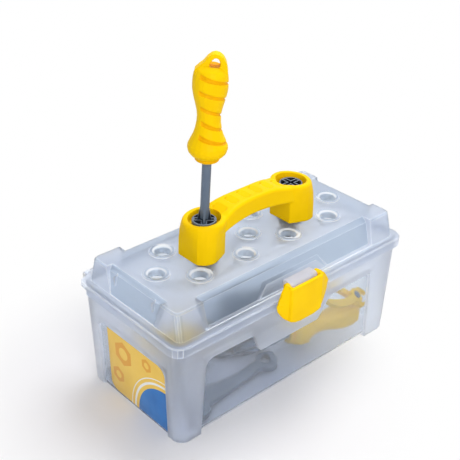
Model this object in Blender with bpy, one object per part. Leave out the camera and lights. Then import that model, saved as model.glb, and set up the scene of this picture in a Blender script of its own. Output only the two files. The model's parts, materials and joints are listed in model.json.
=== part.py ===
"""Toy tool box: a frosted case with a domed lid, carrying handle, front latch and a set of play tools.

Metres, +Z up. X runs along the case, the latch faces -Y, and the origin is on the floor under its middle.
"""

import math

import bmesh
import bpy
from mathutils import Matrix, Vector
from mathutils.geometry import intersect_line_line_2d

# Fits and walls shared by every piece
SHEET = 0.0020            # wall of the two frosted shells
FIT_GAP = 0.0003          # what touching pieces keep between them
OVERRUN = 0.0020          # how far a cut runs past the face it opens
CURVE_STEPS = 4           # facets in each rounded corner

# Case, measured at the lid's rim
CASE_LENGTH = 0.3000
CASE_WIDTH = 0.1500
CASE_HALF_LENGTH = CASE_LENGTH / 2.0
CASE_HALF_WIDTH = CASE_WIDTH / 2.0
CASE_CORNER = 0.0126
RIM_TOP = 0.1144          # top of the lid's flat shelf
SKIRT_DROP = 0.0095
RIM_STEP = 0.0040         # how far the rim stands out from the body below it
RIM_EDGE = 0.0010         # chamfer on the rim's upper edge
END_DRAFT = 0.0035        # how much each end wall leans in towards the floor
SIDE_DRAFT = 0.0030       # the same for the long walls
BODY_CORNER = 0.0103
FOOT_EDGE = 0.0020        # rounding under the four corner posts
FOOT_EDGE_SHARE = 0.3     # where its middle ring lies
BODY_TOP = RIM_TOP - SHEET - FIT_GAP

# Recessed panels of the body
WINDOW_DEPTH = 0.0034
WINDOW_LIP = 0.0060       # rounding of the recessed wall into the floor
WINDOW_LIP_SHARES = (0.2, 0.5, 0.8)
WINDOW_CORNER = 0.0085
WINDOW_SMALL_CORNER = 0.0025
NOTCH_CORNER = 0.0050
END_PANEL_MARGIN = 0.0245  # case edge to the panel's side
END_PANEL_DROP = 0.0354
END_PANEL_HALF = CASE_HALF_WIDTH - END_PANEL_MARGIN
END_PANEL_TOP = RIM_TOP - END_PANEL_DROP
END_PANEL_CORNER = 0.0100
# Front panel corners: x as a share of half the case length, z as a share of the body height
FRONT_WINDOW_SHARES = ((-0.755, 0.765), (-0.375, 0.752), (-0.312, 0.556),
                       (0.205, 0.552), (0.305, 0.745), (0.708, 0.750))
FRONT_FOOT_SHARES = (0.742, -0.784)
REAR_WINDOW_SHARES = ((-0.755, 0.760), (0.755, 0.760))
REAR_FOOT_SHARES = (0.784, -0.784)

# Label on the left end
LABEL_THICK = 0.0004
LABEL_FRONT_MARGIN = 0.0015
LABEL_REAR_MARGIN = 0.0110
LABEL_TOP_MARGIN = 0.0020
LABEL_FRONT = LABEL_FRONT_MARGIN - END_PANEL_HALF
LABEL_REAR = END_PANEL_HALF - LABEL_REAR_MARGIN
LABEL_BOTTOM = 0.0030
LABEL_TOP = END_PANEL_TOP - LABEL_TOP_MARGIN
LABEL_CORNER = 0.0095
LABEL_SMALL_CORNER = 0.0015

# Catch under which the latch closes
CATCH_HALF = 0.0160
CATCH_DROP = 0.0179
CATCH_BOTTOM = RIM_TOP - CATCH_DROP
CATCH_HEIGHT = 0.0022
CATCH_REACH = 0.0036      # out from the rim's step

# Lid dome
LID_RISE = 0.0262         # shelf to top plate
# Setbacks are measured inwards from the case's outline
DOME_TOP_END_SETBACK = 0.0108
DOME_TOP_SIDE_SETBACK = 0.0135
DOME_FOOT_END_SETBACK = 0.0092
DOME_FOOT_SIDE_SETBACK = 0.0082
DOME_TOP_HALF_LENGTH = CASE_HALF_LENGTH - DOME_TOP_END_SETBACK
DOME_TOP_HALF_WIDTH = CASE_HALF_WIDTH - DOME_TOP_SIDE_SETBACK
DOME_FOOT_HALF_LENGTH = CASE_HALF_LENGTH - DOME_FOOT_END_SETBACK
DOME_FOOT_HALF_WIDTH = CASE_HALF_WIDTH - DOME_FOOT_SIDE_SETBACK
DOME_CORNER = 0.0060
DOME_EDGE = 0.0018
PLATE_TOP = RIM_TOP + LID_RISE
REAR_SKIRT_DROP = 0.0040  # the skirt is short at the back, where the lid swings
REAR_SKIRT_SETBACK = 0.0170
REAR_SKIRT_START = CASE_HALF_WIDTH - REAR_SKIRT_SETBACK

# Recessed sides of the dome, between the corner posts
SIDE_BAY_TOP_MARGIN = 0.0407  # case's end to the bay's side
SIDE_BAY_FOOT_MARGIN = 0.0425
SIDE_BAY_TOP_HALF = CASE_HALF_LENGTH - SIDE_BAY_TOP_MARGIN
SIDE_BAY_FOOT_HALF = CASE_HALF_LENGTH - SIDE_BAY_FOOT_MARGIN
SIDE_BAY_TOP_SETBACK = 0.0246
SIDE_BAY_RIDGE_SETBACK = 0.0194
SIDE_BAY_FOOT_SETBACK = 0.0125
SIDE_BAY_TOP = CASE_HALF_WIDTH - SIDE_BAY_TOP_SETBACK  # y where the bay meets the top plate
SIDE_BAY_RIDGE = CASE_HALF_WIDTH - SIDE_BAY_RIDGE_SETBACK
SIDE_BAY_FOOT = CASE_HALF_WIDTH - SIDE_BAY_FOOT_SETBACK
BAY_RIDGE_DROP = 0.0046   # top plate down to the ridge of every bay
END_BAY_TOP_MARGIN = 0.0352  # case's side to the bay's side
END_BAY_FOOT_MARGIN = 0.0432
END_BAY_TOP_HALF = CASE_HALF_WIDTH - END_BAY_TOP_MARGIN
END_BAY_FOOT_HALF = CASE_HALF_WIDTH - END_BAY_FOOT_MARGIN
END_BAY_TOP_SETBACK = 0.0185
END_BAY_RIDGE_SETBACK = 0.0144
END_BAY_FOOT_SETBACK = 0.0096
END_BAY_TOP = CASE_HALF_LENGTH - END_BAY_TOP_SETBACK
END_BAY_RIDGE = CASE_HALF_LENGTH - END_BAY_RIDGE_SETBACK
END_BAY_FOOT = CASE_HALF_LENGTH - END_BAY_FOOT_SETBACK
BAY_LEDGE = 0.0004        # what stays of the post's foot under each bay
GUSSET_THICK = 0.0016
GUSSET_MARGIN = 0.0043
GUSSET_Y = END_BAY_FOOT_HALF - GUSSET_MARGIN
GUSSET_REACH = 0.0036
GUSSET_TOP_DROP = 0.0024
GUSSET_FOOT_DROP = 0.0145

# Raised pad behind the latch
PAD_HALF_TOP = 0.0365
PAD_HALF_FOOT = 0.0485
PAD_THICK = 0.0014
PAD_SLOPE = 0.0035        # how far each sloped side runs
PAD_TOP_DROP = 0.0118

# Tool holes through the top plate
TOOL_HOLE_RADIUS = 0.0080
TOOL_MOUTH = 0.0014       # chamfer at each mouth
TOOL_RING_RADIUS = 0.0130
TOOL_RING_RISE = 0.0012
TOOL_TUBE_WALL = 0.0018
TOOL_TUBE_DROP = 0.0050
HOLE_END_MARGIN = 0.0380  # case's end to the outer hole's middle, clear of the end bay
HOLE_SIDE_MARGIN = 0.0480
HOLE_SPACING = (CASE_HALF_LENGTH - HOLE_END_MARGIN) / 2.0
HOLE_ROW = CASE_HALF_WIDTH - HOLE_SIDE_MARGIN
HOLE_STEPS = 16

# Carrying handle
HANDLE_POST_HALF = 0.0210
HANDLE_POST_HEIGHT = 0.0377
POST_TOP_SLOPE_SHARE = 0.08  # rise of each post's top towards the bar, for its run
HANDLE_POST_EDGE = 0.0022
# Half the foot of a post as shares of its half width: away from the other post, then sideways
POST_FOOT_SHARES = ((-0.66, 0.00), (-0.66, 0.66), (-0.24, 0.86), (0.21, 1.02), (0.57, 1.00),
                    (0.77, 0.84), (0.96, 0.62), (0.96, 0.00))
# Post rings as (height share, roundness share): 0 is the foot's shape, 1 is a circle
POST_RING_SHARES = ((0.00, 0.00), (0.45, 0.12), (0.72, 0.45), (0.88, 0.90))
POST_STEPS = 32
WELL_RADIUS = 0.0153
WELL_DEPTH = 0.0083
WELL_TAPER = 0.0006
BAR_HALF_WIDTH = 0.0120
BAR_END_WIDENING = 0.0042
BAR_TOP_RISE = 0.0078     # how far the bar's middle stands over the posts
BAR_THICK = 0.0189
BAR_END_DROP = 0.0045
BAR_ARCH_SHARE = 3.4      # power of the arch's fall towards its ends
BAR_CORNER = 0.0030
BAR_END_INSET = 0.0115
BAR_RUN = HOLE_SPACING - BAR_END_INSET  # half of the bar's modelled run, its ends inside the posts
BAR_STATIONS = 12
GRIP_SLOT_COUNT = 6
GRIP_SLOT_PITCH = 0.0148
GRIP_SLOT_WIDTH = 0.0086
GRIP_SLOT_DEPTH = 0.0020
GRIP_SLOT_BORDER = 0.0040

# Handle bolts and their nuts
BOLT_HEAD_RADIUS = 0.0115
BOLT_HEAD_HEIGHT = 0.0062
BOLT_SHANK_RADIUS = 0.0077
BOLT_LENGTH = 0.0520
BOLT_SLOT_WIDTH = 0.0032
BOLT_SLOT_DEPTH = 0.0045
BOLT_RING_WALL = 0.0013
BOLT_RIB = 0.0011
BOLT_STEPS = 24
BORE_GAP = 0.0004
NUT_ACROSS_FLATS = 0.0240
NUT_HEIGHT = 0.0080
NUT_EDGE = 0.0012

# Latch
LATCH_PIVOT_SETBACK = 0.0015
LATCH_PIVOT_RISE = 0.0091
LATCH_STANDOFF = 0.0075
LATCH_PIVOT_Y = LATCH_PIVOT_SETBACK - CASE_HALF_WIDTH
LATCH_PIVOT_Z = RIM_TOP + LATCH_PIVOT_RISE
LATCH_FRONT = -CASE_HALF_WIDTH - LATCH_STANDOFF
LATCH_THICK = 0.0026
LATCH_PANEL_HALF = 0.0205
LATCH_WING_STANDOFF = 0.0020
LATCH_WING_BACK = -CASE_HALF_WIDTH - LATCH_WING_STANDOFF  # front face at the wing's outer edge
LATCH_WING_HALF = 0.0341
LATCH_DROP = 0.0280
LATCH_RISE = 0.0111
LATCH_CLEARANCE = 0.0004
LATCH_BOTTOM = RIM_TOP - LATCH_DROP
LATCH_TOP = RIM_TOP + LATCH_RISE
LATCH_BACK_LIMIT = -CASE_HALF_WIDTH - LATCH_CLEARANCE
EAR_THICK = 0.0036
EAR_ROUND = 0.0036
EAR_FOOT_RISE = 0.0006
EAR_FOOT = RIM_TOP + EAR_FOOT_RISE
LUG_HALF = 0.0170
LUG_STANDOFF = 0.0018
LUG_SETBACK = 0.0090
LUG_RISE = 0.0124
LUG_FRONT = -CASE_HALF_WIDTH - LUG_STANDOFF
LUG_BACK = LUG_SETBACK - CASE_HALF_WIDTH
LUG_TOP = RIM_TOP + LUG_RISE
LUG_EDGE = 0.0020
TRUNNION_RADIUS = 0.0016
TRUNNION_LENGTH = 0.0030
HOOK_HALF = 0.0150
HOOK_HEIGHT = 0.0050
# Latch outline: half width as a share of the wing's, height as a share of bottom to top
LATCH_OUTLINE_SHARES = ((0.26, 0.00), (0.46, 0.03), (0.63, 0.09), (0.77, 0.18), (0.88, 0.30), (0.965, 0.43),
                        (1.00, 0.57), (0.94, 0.70), (0.83, 0.83), (0.73, 0.93), (0.66, 1.00))

# Lid hinge
HINGE_STANDOFF = 0.0038
HINGE_DROP = 0.0029
HINGE_Y = CASE_HALF_WIDTH + HINGE_STANDOFF
HINGE_Z = RIM_TOP - HINGE_DROP
KNUCKLE_RADIUS = 0.0032
PIN_RADIUS = 0.00125
PIN_BORE_GAP = 0.0003
PIN_HEAD_RADIUS = 0.0023
PIN_HEAD_THICK = 0.0009
HINGE_INNER_MARGIN = 0.0460
HINGE_OUTER_MARGIN = 0.0130
HINGE_INNER = CASE_HALF_LENGTH - HINGE_INNER_MARGIN  # inner end of each knuckle row
HINGE_OUTER = CASE_HALF_LENGTH - HINGE_OUTER_MARGIN
LID_KNUCKLE = 0.0062
KNUCKLE_STEPS = 16
BRACKET_DROP = 0.0164
BRACKET_FOOT = RIM_TOP - BRACKET_DROP
BRACKET_ARM = 0.0016      # clearance kept under the lid's short rear skirt
# Where the arms meet their knuckles, as shares of the knuckle radius
BRACKET_OUT_SHARE = 0.8
BRACKET_LOW_SHARE = 0.6
LID_ARM_TOP_SHARE = 0.95
LID_ARM_LOW_SHARE = 0.5

# Grip shared by the screwdrivers and the hammer: (height share, radius share)
GRIP_LENGTH = 0.0985
GRIP_FLARE_SHARE = 0.122  # height of the widest place near the collar
GRIP_BULGE_SHARE = 0.720  # height of the upper bulge
GRIP_BULGE_LOSS_SHARE = 0.14
GRIP_RADIUS = 0.0180
GRIP_PROFILE_SHARES = (
    (0.000, 0.56), (0.012, 0.62), (0.040, 0.63), (0.060, 0.82), (0.090, 0.95), (0.122, 1.00), (0.158, 0.98),
    (0.200, 0.88), (0.250, 0.75), (0.310, 0.65), (0.375, 0.59), (0.430, 0.58), (0.480, 0.61), (0.540, 0.69),
    (0.610, 0.79), (0.670, 0.85), (0.720, 0.86), (0.775, 0.85), (0.820, 0.81), (0.858, 0.70), (0.885, 0.52),
    (0.898, 0.30))
# Hanging loop at the top of the grip: (sideways share of the grip radius, height share)
LOOP_SHARES = ((-0.78, 0.800), (-0.76, 0.850), (-0.55, 0.888), (-0.36, 0.918), (-0.16, 0.965), (0.02, 0.992),
               (0.20, 1.000), (0.40, 0.990), (0.57, 0.965), (0.70, 0.922), (0.79, 0.850), (0.80, 0.790))
LOOP_HOLE_SHARES = ((-0.12, 0.886), (0.00, 0.930), (0.12, 0.957), (0.24, 0.962), (0.36, 0.950), (0.42, 0.910),
                    (0.40, 0.884))
LOOP_THICK = 0.0100
GRIP_STEPS = 20
LYING_GRIP_STEPS = 16
SWIRL_HEIGHT_SHARES = (0.264, 0.387, 0.527, 0.680, 0.821)
SWIRL_WIDTH = 0.0040
SWIRL_DEPTH = 0.0013
SWIRL_DROP = 0.0100       # how far a swirl falls along its run
SWIRL_START = math.radians(-128)
SWIRL_RUN = math.radians(150)
SWIRL_TAIL_SHARE = 0.4    # width left at a swirl's end
SWIRL_POINTS = 7
SHAFT_RADIUS = 0.0043
CORE_SHARE = 0.8          # round core between the fins, of the shaft's radius
NECK_SHARE = 0.9          # fins where they run into the shaft
SHAFT_SEAT = 0.0240       # depth of the shaft's blind bore in the grip
SHAFT_EXPOSED = 0.0635
SHAFT_STEPS = 16
FIN_SPAN = 0.0130
FIN_THICK = 0.0022
FIN_HEIGHT = 0.0165
FIN_STRAIGHT = 0.0040
CORE_START = 0.0048       # the round core stops above the bolt's slot
SCREWDRIVER_LEAN = math.radians(2.15)
SCREWDRIVER_HEADING = math.radians(-42.5)
TIP_CLEARANCE = 0.0007    # tip over the slot's floor, room for the lean

# Tools lying in the case
FLOOR = SHEET + FIT_GAP
SPARE_END_MARGIN = 0.0180
SPARE_FRONT_MARGIN = 0.0460
SPARE_START = (CASE_HALF_LENGTH - SPARE_END_MARGIN - GRIP_LENGTH, SPARE_FRONT_MARGIN - CASE_HALF_WIDTH)
SPARE_HEADING = math.radians(-8.0)
HAMMER_END_MARGIN = 0.0182
HAMMER_REAR_MARGIN = 0.0385
HAMMER_START = (HAMMER_END_MARGIN + GRIP_LENGTH - CASE_HALF_LENGTH, CASE_HALF_WIDTH - HAMMER_REAR_MARGIN)
HAMMER_HEADING = math.radians(175.3)
HAMMER_GRIP_RADIUS = 0.0160
HAMMER_SHAFT_EXPOSED = 0.0520
HAMMER_HEAD_RADIUS = 0.0138
HAMMER_HEAD_LENGTH = 0.0560
HAMMER_HEAD_SEAT_SHARE = 0.95  # radius under the shaft
# Hammer head turned about its own length: (length share, radius share)
HAMMER_HEAD_SHARES = ((-0.50, 0.80), (-0.47, 1.00), (-0.33, 1.00), (-0.28, 0.66), (-0.20, 0.66),
                      (-0.16, 0.95), (0.16, 0.95), (0.20, 0.80), (0.47, 0.62), (0.50, 0.50))
HAMMER_SEAT = 0.0110
SPANNER_ROOM = 0.0200  # half the case's length less the spanner's
SPANNER_LENGTH = CASE_HALF_LENGTH - SPANNER_ROOM
SPANNER_HALF_WIDTH = 0.0070
SPANNER_HEAD_RADIUS = 0.0165
SPANNER_JAW_HALF = 0.0075
SPANNER_JAW_DEPTH = 0.0140
SPANNER_THICK = 0.0060
SPANNER_END_MARGIN = 0.0290
SPANNER_FRONT_MARGIN = 0.0375
SPANNER_CENTRE = (SPANNER_END_MARGIN + SPANNER_LENGTH / 2.0 - CASE_HALF_LENGTH,
                  SPANNER_FRONT_MARGIN - CASE_HALF_WIDTH)
SPANNER_HEADING = math.radians(3.0)
SPANNER_RING_RADIUS = 0.0130
SPANNER_RING_HOLE = 0.0070
# Each loose bolt and nut: x and y as shares of half the case, and its heading in degrees
PLAY_BOLT_SHARES = ((-0.61333, -0.02667, 12.0), (-0.2, 0.01333, -8.0), (0.41333, 0.58667, 2.0))
PLAY_NUT_SHARES = ((-0.78667, 0.0, 10.0), (0.52, 0.13333, 20.0), (0.73333, 0.2, 40.0))

# Pliers leaning on the spare screwdriver's grip
PLIERS_THICK = 0.0042
PLIERS_HANDLE = 0.0600
PLIERS_JAW = 0.0200
PLIERS_HALF_WIDTH = 0.0042
PLIERS_JAW_HALF_WIDTH = 0.0030
PLIERS_BOSS_RADIUS = 0.0085
PLIERS_OPEN = math.radians(13.0)
PLIERS_BOW = 0.0050       # outward curve of each handle
PLIERS_JAW_BOW = 0.0055
PLIERS_TIP_SHARE = 0.5    # jaw's width left at its tip
PLIERS_END_SHARE = 0.8    # how far each handle's rounded end closes
PLIERS_PIN_RADIUS = 0.0026
PLIERS_PIN_HEAD = 0.0045
PLIERS_PIN_HEAD_THICK = 0.0010
PLIERS_STATIONS = 8
PLIERS_SEAT_SHARE = 0.8071  # where along the spare grip the pliers' pivot lies
PLIERS_SIDE_OFFSET = 0.0170
PLIERS_SEAT_GAP = 0.0009
PLIERS_PIVOT = (SPARE_START[0] + PLIERS_SEAT_SHARE * GRIP_LENGTH, SPARE_START[1] - PLIERS_SIDE_OFFSET,
                FLOOR + 2.0 * GRIP_RADIUS + PLIERS_SEAT_GAP)
PLIERS_HEADING = math.radians(176.0)
PLIERS_RISE = math.radians(28.0)
PLIERS_ROLL = math.radians(-30.0)

# Colours from the photograph
FROSTED = (0.72, 0.77, 0.84)
YELLOW = (0.97, 0.66, 0.01)
SLATE = (0.16, 0.21, 0.29)
LABEL_BLUE = (0.02, 0.24, 0.60)
STEEL = (0.55, 0.56, 0.58)


def clear_scene():
    for thing in list(bpy.data.objects):
        bpy.data.objects.remove(thing, do_unlink=True)


def finish(name, colour, roughness, metallic=0.0, alpha=1.0):
    """A plain material for one sub-part."""
    made = bpy.data.materials.new(name)
    made.use_nodes = True
    shader = made.node_tree.nodes["Principled BSDF"]
    shader.inputs["Base Color"].default_value = (*colour, 1.0)
    shader.inputs["Roughness"].default_value = roughness
    shader.inputs["Metallic"].default_value = metallic
    shader.inputs["Alpha"].default_value = alpha
    made.diffuse_color = (*colour, alpha)
    return made


def lofted(rings):
    """A closed solid through rings of equally many points, with flat ends."""
    count = len(rings[0])
    points = [Vector(point) for ring in rings for point in ring]
    faces = []
    for row in range(len(rings) - 1):
        low = row * count
        high = low + count
        for k in range(count):
            after = (k + 1) % count
            faces.append((low + k, low + after, high + after, high + k))
    faces.append(tuple(range(count - 1, -1, -1)))
    last = (len(rings) - 1) * count
    faces.append(tuple(range(last, last + count)))
    return points, faces


def turned(profile, steps, phase=0.0):
    """A solid of revolution about Z from (radius, height) points, lowest first."""
    rings = []
    for radius, height in profile:
        ring = []
        for k in range(steps):
            turn = phase + 2.0 * math.pi * k / steps
            ring.append((radius * math.cos(turn), radius * math.sin(turn), height))
        rings.append(ring)
    return lofted(rings)


def plate(outline, low, high):
    """An outline in XY given thickness along Z."""
    return lofted([[(x, y, low) for x, y in outline], [(x, y, high) for x, y in outline]])


def along_x(outline, low, high):
    """An outline in YZ given thickness along X."""
    return lofted([[(low, y, z) for y, z in outline], [(high, y, z) for y, z in outline]])


def along_y(outline, low, high):
    """An outline in XZ given thickness along Y."""
    return lofted([[(x, low, z) for x, z in outline], [(x, high, z) for x, z in outline]])


def block(low, high):
    outline = ((low[0], low[1]), (high[0], low[1]), (high[0], high[1]), (low[0], high[1]))
    return plate(outline, low[2], high[2])


def moved(solid, matrix):
    points, faces = solid
    return [matrix @ point for point in points], faces


def spot(x, y, z=0.0, heading=0.0):
    return Matrix.Translation((x, y, z)) @ Matrix.Rotation(heading, 4, "Z")


def make(name, solids, look=None, origin=(0.0, 0.0, 0.0)):
    """One object from solids given in world space, with its origin where asked."""
    points = []
    faces = []
    for solid_points, solid_faces in solids:
        start = len(points)
        points.extend(point - Vector(origin) for point in solid_points)
        faces.extend(tuple(start + k for k in face) for face in solid_faces)
    mesh = bpy.data.meshes.new(name)
    mesh.from_pydata([tuple(point) for point in points], [], faces)
    shaper = bmesh.new()
    shaper.from_mesh(mesh)
    bmesh.ops.recalc_face_normals(shaper, faces=shaper.faces)
    shaper.to_mesh(mesh)
    shaper.free()
    mesh.shade_smooth()
    mesh.set_sharp_from_angle(angle=math.radians(35.0))
    thing = bpy.data.objects.new(name, mesh)
    thing.location = origin
    bpy.context.scene.collection.objects.link(thing)
    if look:
        mesh.materials.append(look)
    return thing


def apply_tool(target, tool, operation):
    """Cut, join or keep with a hidden tool object."""
    step = target.modifiers.new(operation.lower() + "_" + tool.name, "BOOLEAN")
    step.operation = operation
    step.solver = "EXACT"
    step.object = tool
    tool.hide_render = True
    tool.display_type = "WIRE"


def cut(target, name, solids):
    tool = make(name, solids)
    apply_tool(target, tool, "DIFFERENCE")
    return tool


def join(target, name, solids):
    tool = make(name, solids)
    apply_tool(target, tool, "UNION")
    return tool


def rounded_rectangle(half_x, half_y, radius, z, steps=CURVE_STEPS):
    """Ring of points with four rounded corners."""
    ring = []
    for quarter in range(4):
        sign_x = 1.0 if quarter in (0, 3) else -1.0
        sign_y = 1.0 if quarter in (0, 1) else -1.0
        centre = Vector((sign_x * (half_x - radius), sign_y * (half_y - radius)))
        for k in range(steps + 1):
            turn = (quarter + k / steps) * math.pi / 2.0
            point = centre + Vector((math.cos(turn), math.sin(turn))) * radius
            ring.append((point.x, point.y, z))
    return ring


def filleted(points, radii, steps=CURVE_STEPS):
    """The outline with each corner rounded by its own radius."""
    outline = []
    count = len(points)
    for k in range(count):
        here = Vector(points[k])
        back = (Vector(points[k - 1]) - here).normalized()
        ahead = (Vector(points[(k + 1) % count]) - here).normalized()
        radius = radii[k]
        if radius <= 0.0:
            outline.append(tuple(here))
            continue
        half_angle = back.angle(ahead) / 2.0
        centre = here + (back + ahead).normalized() * (radius / math.sin(half_angle))
        reach = radius / math.tan(half_angle)
        arm = here + back * reach - centre
        last = here + ahead * reach - centre
        sweep = arm.angle_signed(last)
        for step in range(steps + 1):
            turn = -sweep * step / steps
            outline.append(tuple(centre + Matrix.Rotation(turn, 2) @ arm))
    return outline


def grown(points, amount):
    """The outline moved outwards by an equal amount on every side."""
    count = len(points)
    area = sum(points[k - 1][0] * points[k][1] - points[k][0] * points[k - 1][1] for k in range(count))
    sign = 1.0 if area > 0.0 else -1.0
    outline = []
    for k in range(count):
        here = Vector(points[k])
        back = (here - Vector(points[k - 1])).normalized()
        ahead = (Vector(points[(k + 1) % count]) - here).normalized()
        normal = Vector((back.y + ahead.y, -back.x - ahead.x)).normalized()
        reach = amount * sign / max(normal.dot(Vector((ahead.y, -ahead.x))), 0.3)
        outline.append(tuple(here + normal * reach))
    return outline


def body_half_length(z, inset=0.0):
    return CASE_HALF_LENGTH - RIM_STEP - END_DRAFT * (1.0 - z / BODY_TOP) - inset


def body_half_width(z, inset=0.0):
    return CASE_HALF_WIDTH - RIM_STEP - SIDE_DRAFT * (1.0 - z / BODY_TOP) - inset


def body_ring(z, inset, radius):
    return rounded_rectangle(body_half_length(z, inset), body_half_width(z, inset), radius, z)


def wall_recess(outline, side, depth):
    """A block behind an outline on a long wall, its inner face parallel to the leaning wall."""
    outer = [(x, side * (body_half_width(z) + OVERRUN), z) for x, z in outline]
    inner = [(x, side * (body_half_width(z) - depth), z) for x, z in outline]
    return lofted([outer, inner])


def end_recess(outline, side, depth):
    """The same on an end wall."""
    outer = [(side * (body_half_length(z) + OVERRUN), y, z) for y, z in outline]
    inner = [(side * (body_half_length(z) - depth), y, z) for y, z in outline]
    return lofted([outer, inner])


def window_points(corner_shares, foot_shares):
    points = [(x * CASE_HALF_LENGTH, z * BODY_TOP) for x, z in corner_shares]
    points += [(x * CASE_HALF_LENGTH, -OVERRUN) for x in foot_shares]
    return points


def window_lip(points, side, inset):
    """The bar that rounds a recessed wall into the floor."""
    right = points[-2][0] + inset
    left = points[-1][0] - inset
    radius = WINDOW_LIP - inset
    centre = body_half_width(WINDOW_LIP) - WINDOW_DEPTH - WINDOW_LIP
    outline = [(side * (centre + radius + OVERRUN / 2.0), WINDOW_LIP + OVERRUN)]
    for share in WINDOW_LIP_SHARES:
        turn = share * math.pi / 2.0
        outline.append((side * (centre + radius * math.cos(turn)), WINDOW_LIP - radius * math.sin(turn)))
    outline.append((side * centre, WINDOW_LIP - radius - FIT_GAP))
    outline.append((side * centre, -OVERRUN))
    outline.append((side * (body_half_width(0.0) + OVERRUN), -OVERRUN))
    outline.append((side * (body_half_width(0.0) + OVERRUN), WINDOW_LIP + OVERRUN))
    return along_x(outline, left, right)


def end_panel_points():
    return [(-END_PANEL_HALF, -OVERRUN), (END_PANEL_HALF, -OVERRUN),
            (END_PANEL_HALF, END_PANEL_TOP), (-END_PANEL_HALF, END_PANEL_TOP)]


def body_cavity():
    """The space inside the body, kept one wall away from every recessed panel."""
    rings = [body_ring(SHEET, SHEET + FOOT_EDGE, BODY_CORNER - SHEET),
             body_ring(SHEET + FOOT_EDGE, SHEET, BODY_CORNER - SHEET),
             body_ring(BODY_TOP + OVERRUN, SHEET, BODY_CORNER - SHEET)]
    cavity = make("body_cavity", [lofted(rings)])
    front = window_points(FRONT_WINDOW_SHARES, FRONT_FOOT_SHARES)
    rear = window_points(REAR_WINDOW_SHARES, REAR_FOOT_SHARES)
    deep = WINDOW_DEPTH + SHEET
    cut(cavity, "front_window_back", [wall_recess(grown(front, SHEET), -1.0, deep)])
    cut(cavity, "rear_window_back", [wall_recess(grown(rear, SHEET), 1.0, deep)])
    cut(cavity, "window_lip_backs", [window_lip(front, -1.0, SHEET), window_lip(rear, 1.0, SHEET)])
    ends = grown(end_panel_points(), SHEET)
    cut(cavity, "end_panel_backs", [end_recess(ends, -1.0, deep), end_recess(ends, 1.0, deep)])
    return cavity


def hinge_bracket(low, high):
    """Body knuckle and the arm that carries it, from x=low to x=high."""
    top = RIM_TOP - REAR_SKIRT_DROP - FIT_GAP
    wall = body_half_width(BRACKET_FOOT) - SHEET / 2.0
    out = HINGE_Y + KNUCKLE_RADIUS * BRACKET_OUT_SHARE
    low_z = HINGE_Z - KNUCKLE_RADIUS * BRACKET_LOW_SHARE
    shoulder = HINGE_Y - KNUCKLE_RADIUS + BRACKET_ARM / 2.0
    ledge = top - BRACKET_ARM / 4.0
    arm = [(wall, BRACKET_FOOT), (out, low_z), (HINGE_Y, HINGE_Z), (shoulder, ledge), (wall, ledge)]
    return along_x(arm, low, high)


def barrel(radius, low, high, steps=KNUCKLE_STEPS):
    """A round bar on the hinge axis."""
    solid = turned([(radius, low), (radius, high)], steps, math.pi / steps)
    turn = Matrix.Translation((0.0, HINGE_Y, HINGE_Z)) @ Matrix.Rotation(math.pi / 2.0, 4, "Y")
    return moved(solid, turn)


def hinge_rows():
    """The two body knuckles as (low, high) along X, left one first."""
    inner = HINGE_INNER + LID_KNUCKLE + FIT_GAP
    outer = HINGE_OUTER - LID_KNUCKLE - FIT_GAP
    return ((-outer, -inner), (inner, outer))


def lid_knuckle_rows():
    right = ((HINGE_INNER, HINGE_INNER + LID_KNUCKLE), (HINGE_OUTER - LID_KNUCKLE, HINGE_OUTER))
    return [(-high, -low) for low, high in right] + list(right)


def box_body():
    look = finish("frosted_body", FROSTED, 0.35, alpha=0.45)
    rings = [body_ring(0.0, FOOT_EDGE, BODY_CORNER - FOOT_EDGE),
             body_ring(FOOT_EDGE * FOOT_EDGE_SHARE, FOOT_EDGE * FOOT_EDGE_SHARE, BODY_CORNER),
             body_ring(FOOT_EDGE, 0.0, BODY_CORNER),
             body_ring(BODY_TOP, 0.0, BODY_CORNER)]
    body = make("box_body", [lofted(rings)], look)
    front = window_points(FRONT_WINDOW_SHARES, FRONT_FOOT_SHARES)
    radii = (WINDOW_CORNER, WINDOW_SMALL_CORNER, NOTCH_CORNER, NOTCH_CORNER,
             WINDOW_SMALL_CORNER, WINDOW_SMALL_CORNER, 0.0, 0.0)
    cut(body, "front_window", [wall_recess(filleted(front, radii), -1.0, WINDOW_DEPTH)])
    rear = window_points(REAR_WINDOW_SHARES, REAR_FOOT_SHARES)
    rear_outline = filleted(rear, (WINDOW_CORNER, WINDOW_CORNER, 0.0, 0.0))
    cut(body, "rear_window", [wall_recess(rear_outline, 1.0, WINDOW_DEPTH)])
    cut(body, "window_lips", [window_lip(front, -1.0, 0.0), window_lip(rear, 1.0, 0.0)])
    panel = filleted(end_panel_points(), (0.0, 0.0, END_PANEL_CORNER, END_PANEL_CORNER))
    cut(body, "end_panels", [end_recess(panel, -1.0, WINDOW_DEPTH), end_recess(panel, 1.0, WINDOW_DEPTH)])
    apply_tool(body, body_cavity(), "DIFFERENCE")
    wall = body_half_width(CATCH_BOTTOM)
    catch_low = (-CATCH_HALF, -wall - CATCH_REACH, CATCH_BOTTOM)
    catch_high = (CATCH_HALF, -wall + SHEET / 2.0, CATCH_BOTTOM + CATCH_HEIGHT)
    join(body, "latch_catch", [block(catch_low, catch_high)])
    join(body, "hinge_arms", [hinge_bracket(low, high) for low, high in hinge_rows()])
    join(body, "body_knuckles", [barrel(KNUCKLE_RADIUS, low, high) for low, high in hinge_rows()])
    bore = PIN_RADIUS + PIN_BORE_GAP
    cut(body, "body_pin_bores", [barrel(bore, low - OVERRUN, high + OVERRUN) for low, high in hinge_rows()])
    return body


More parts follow.
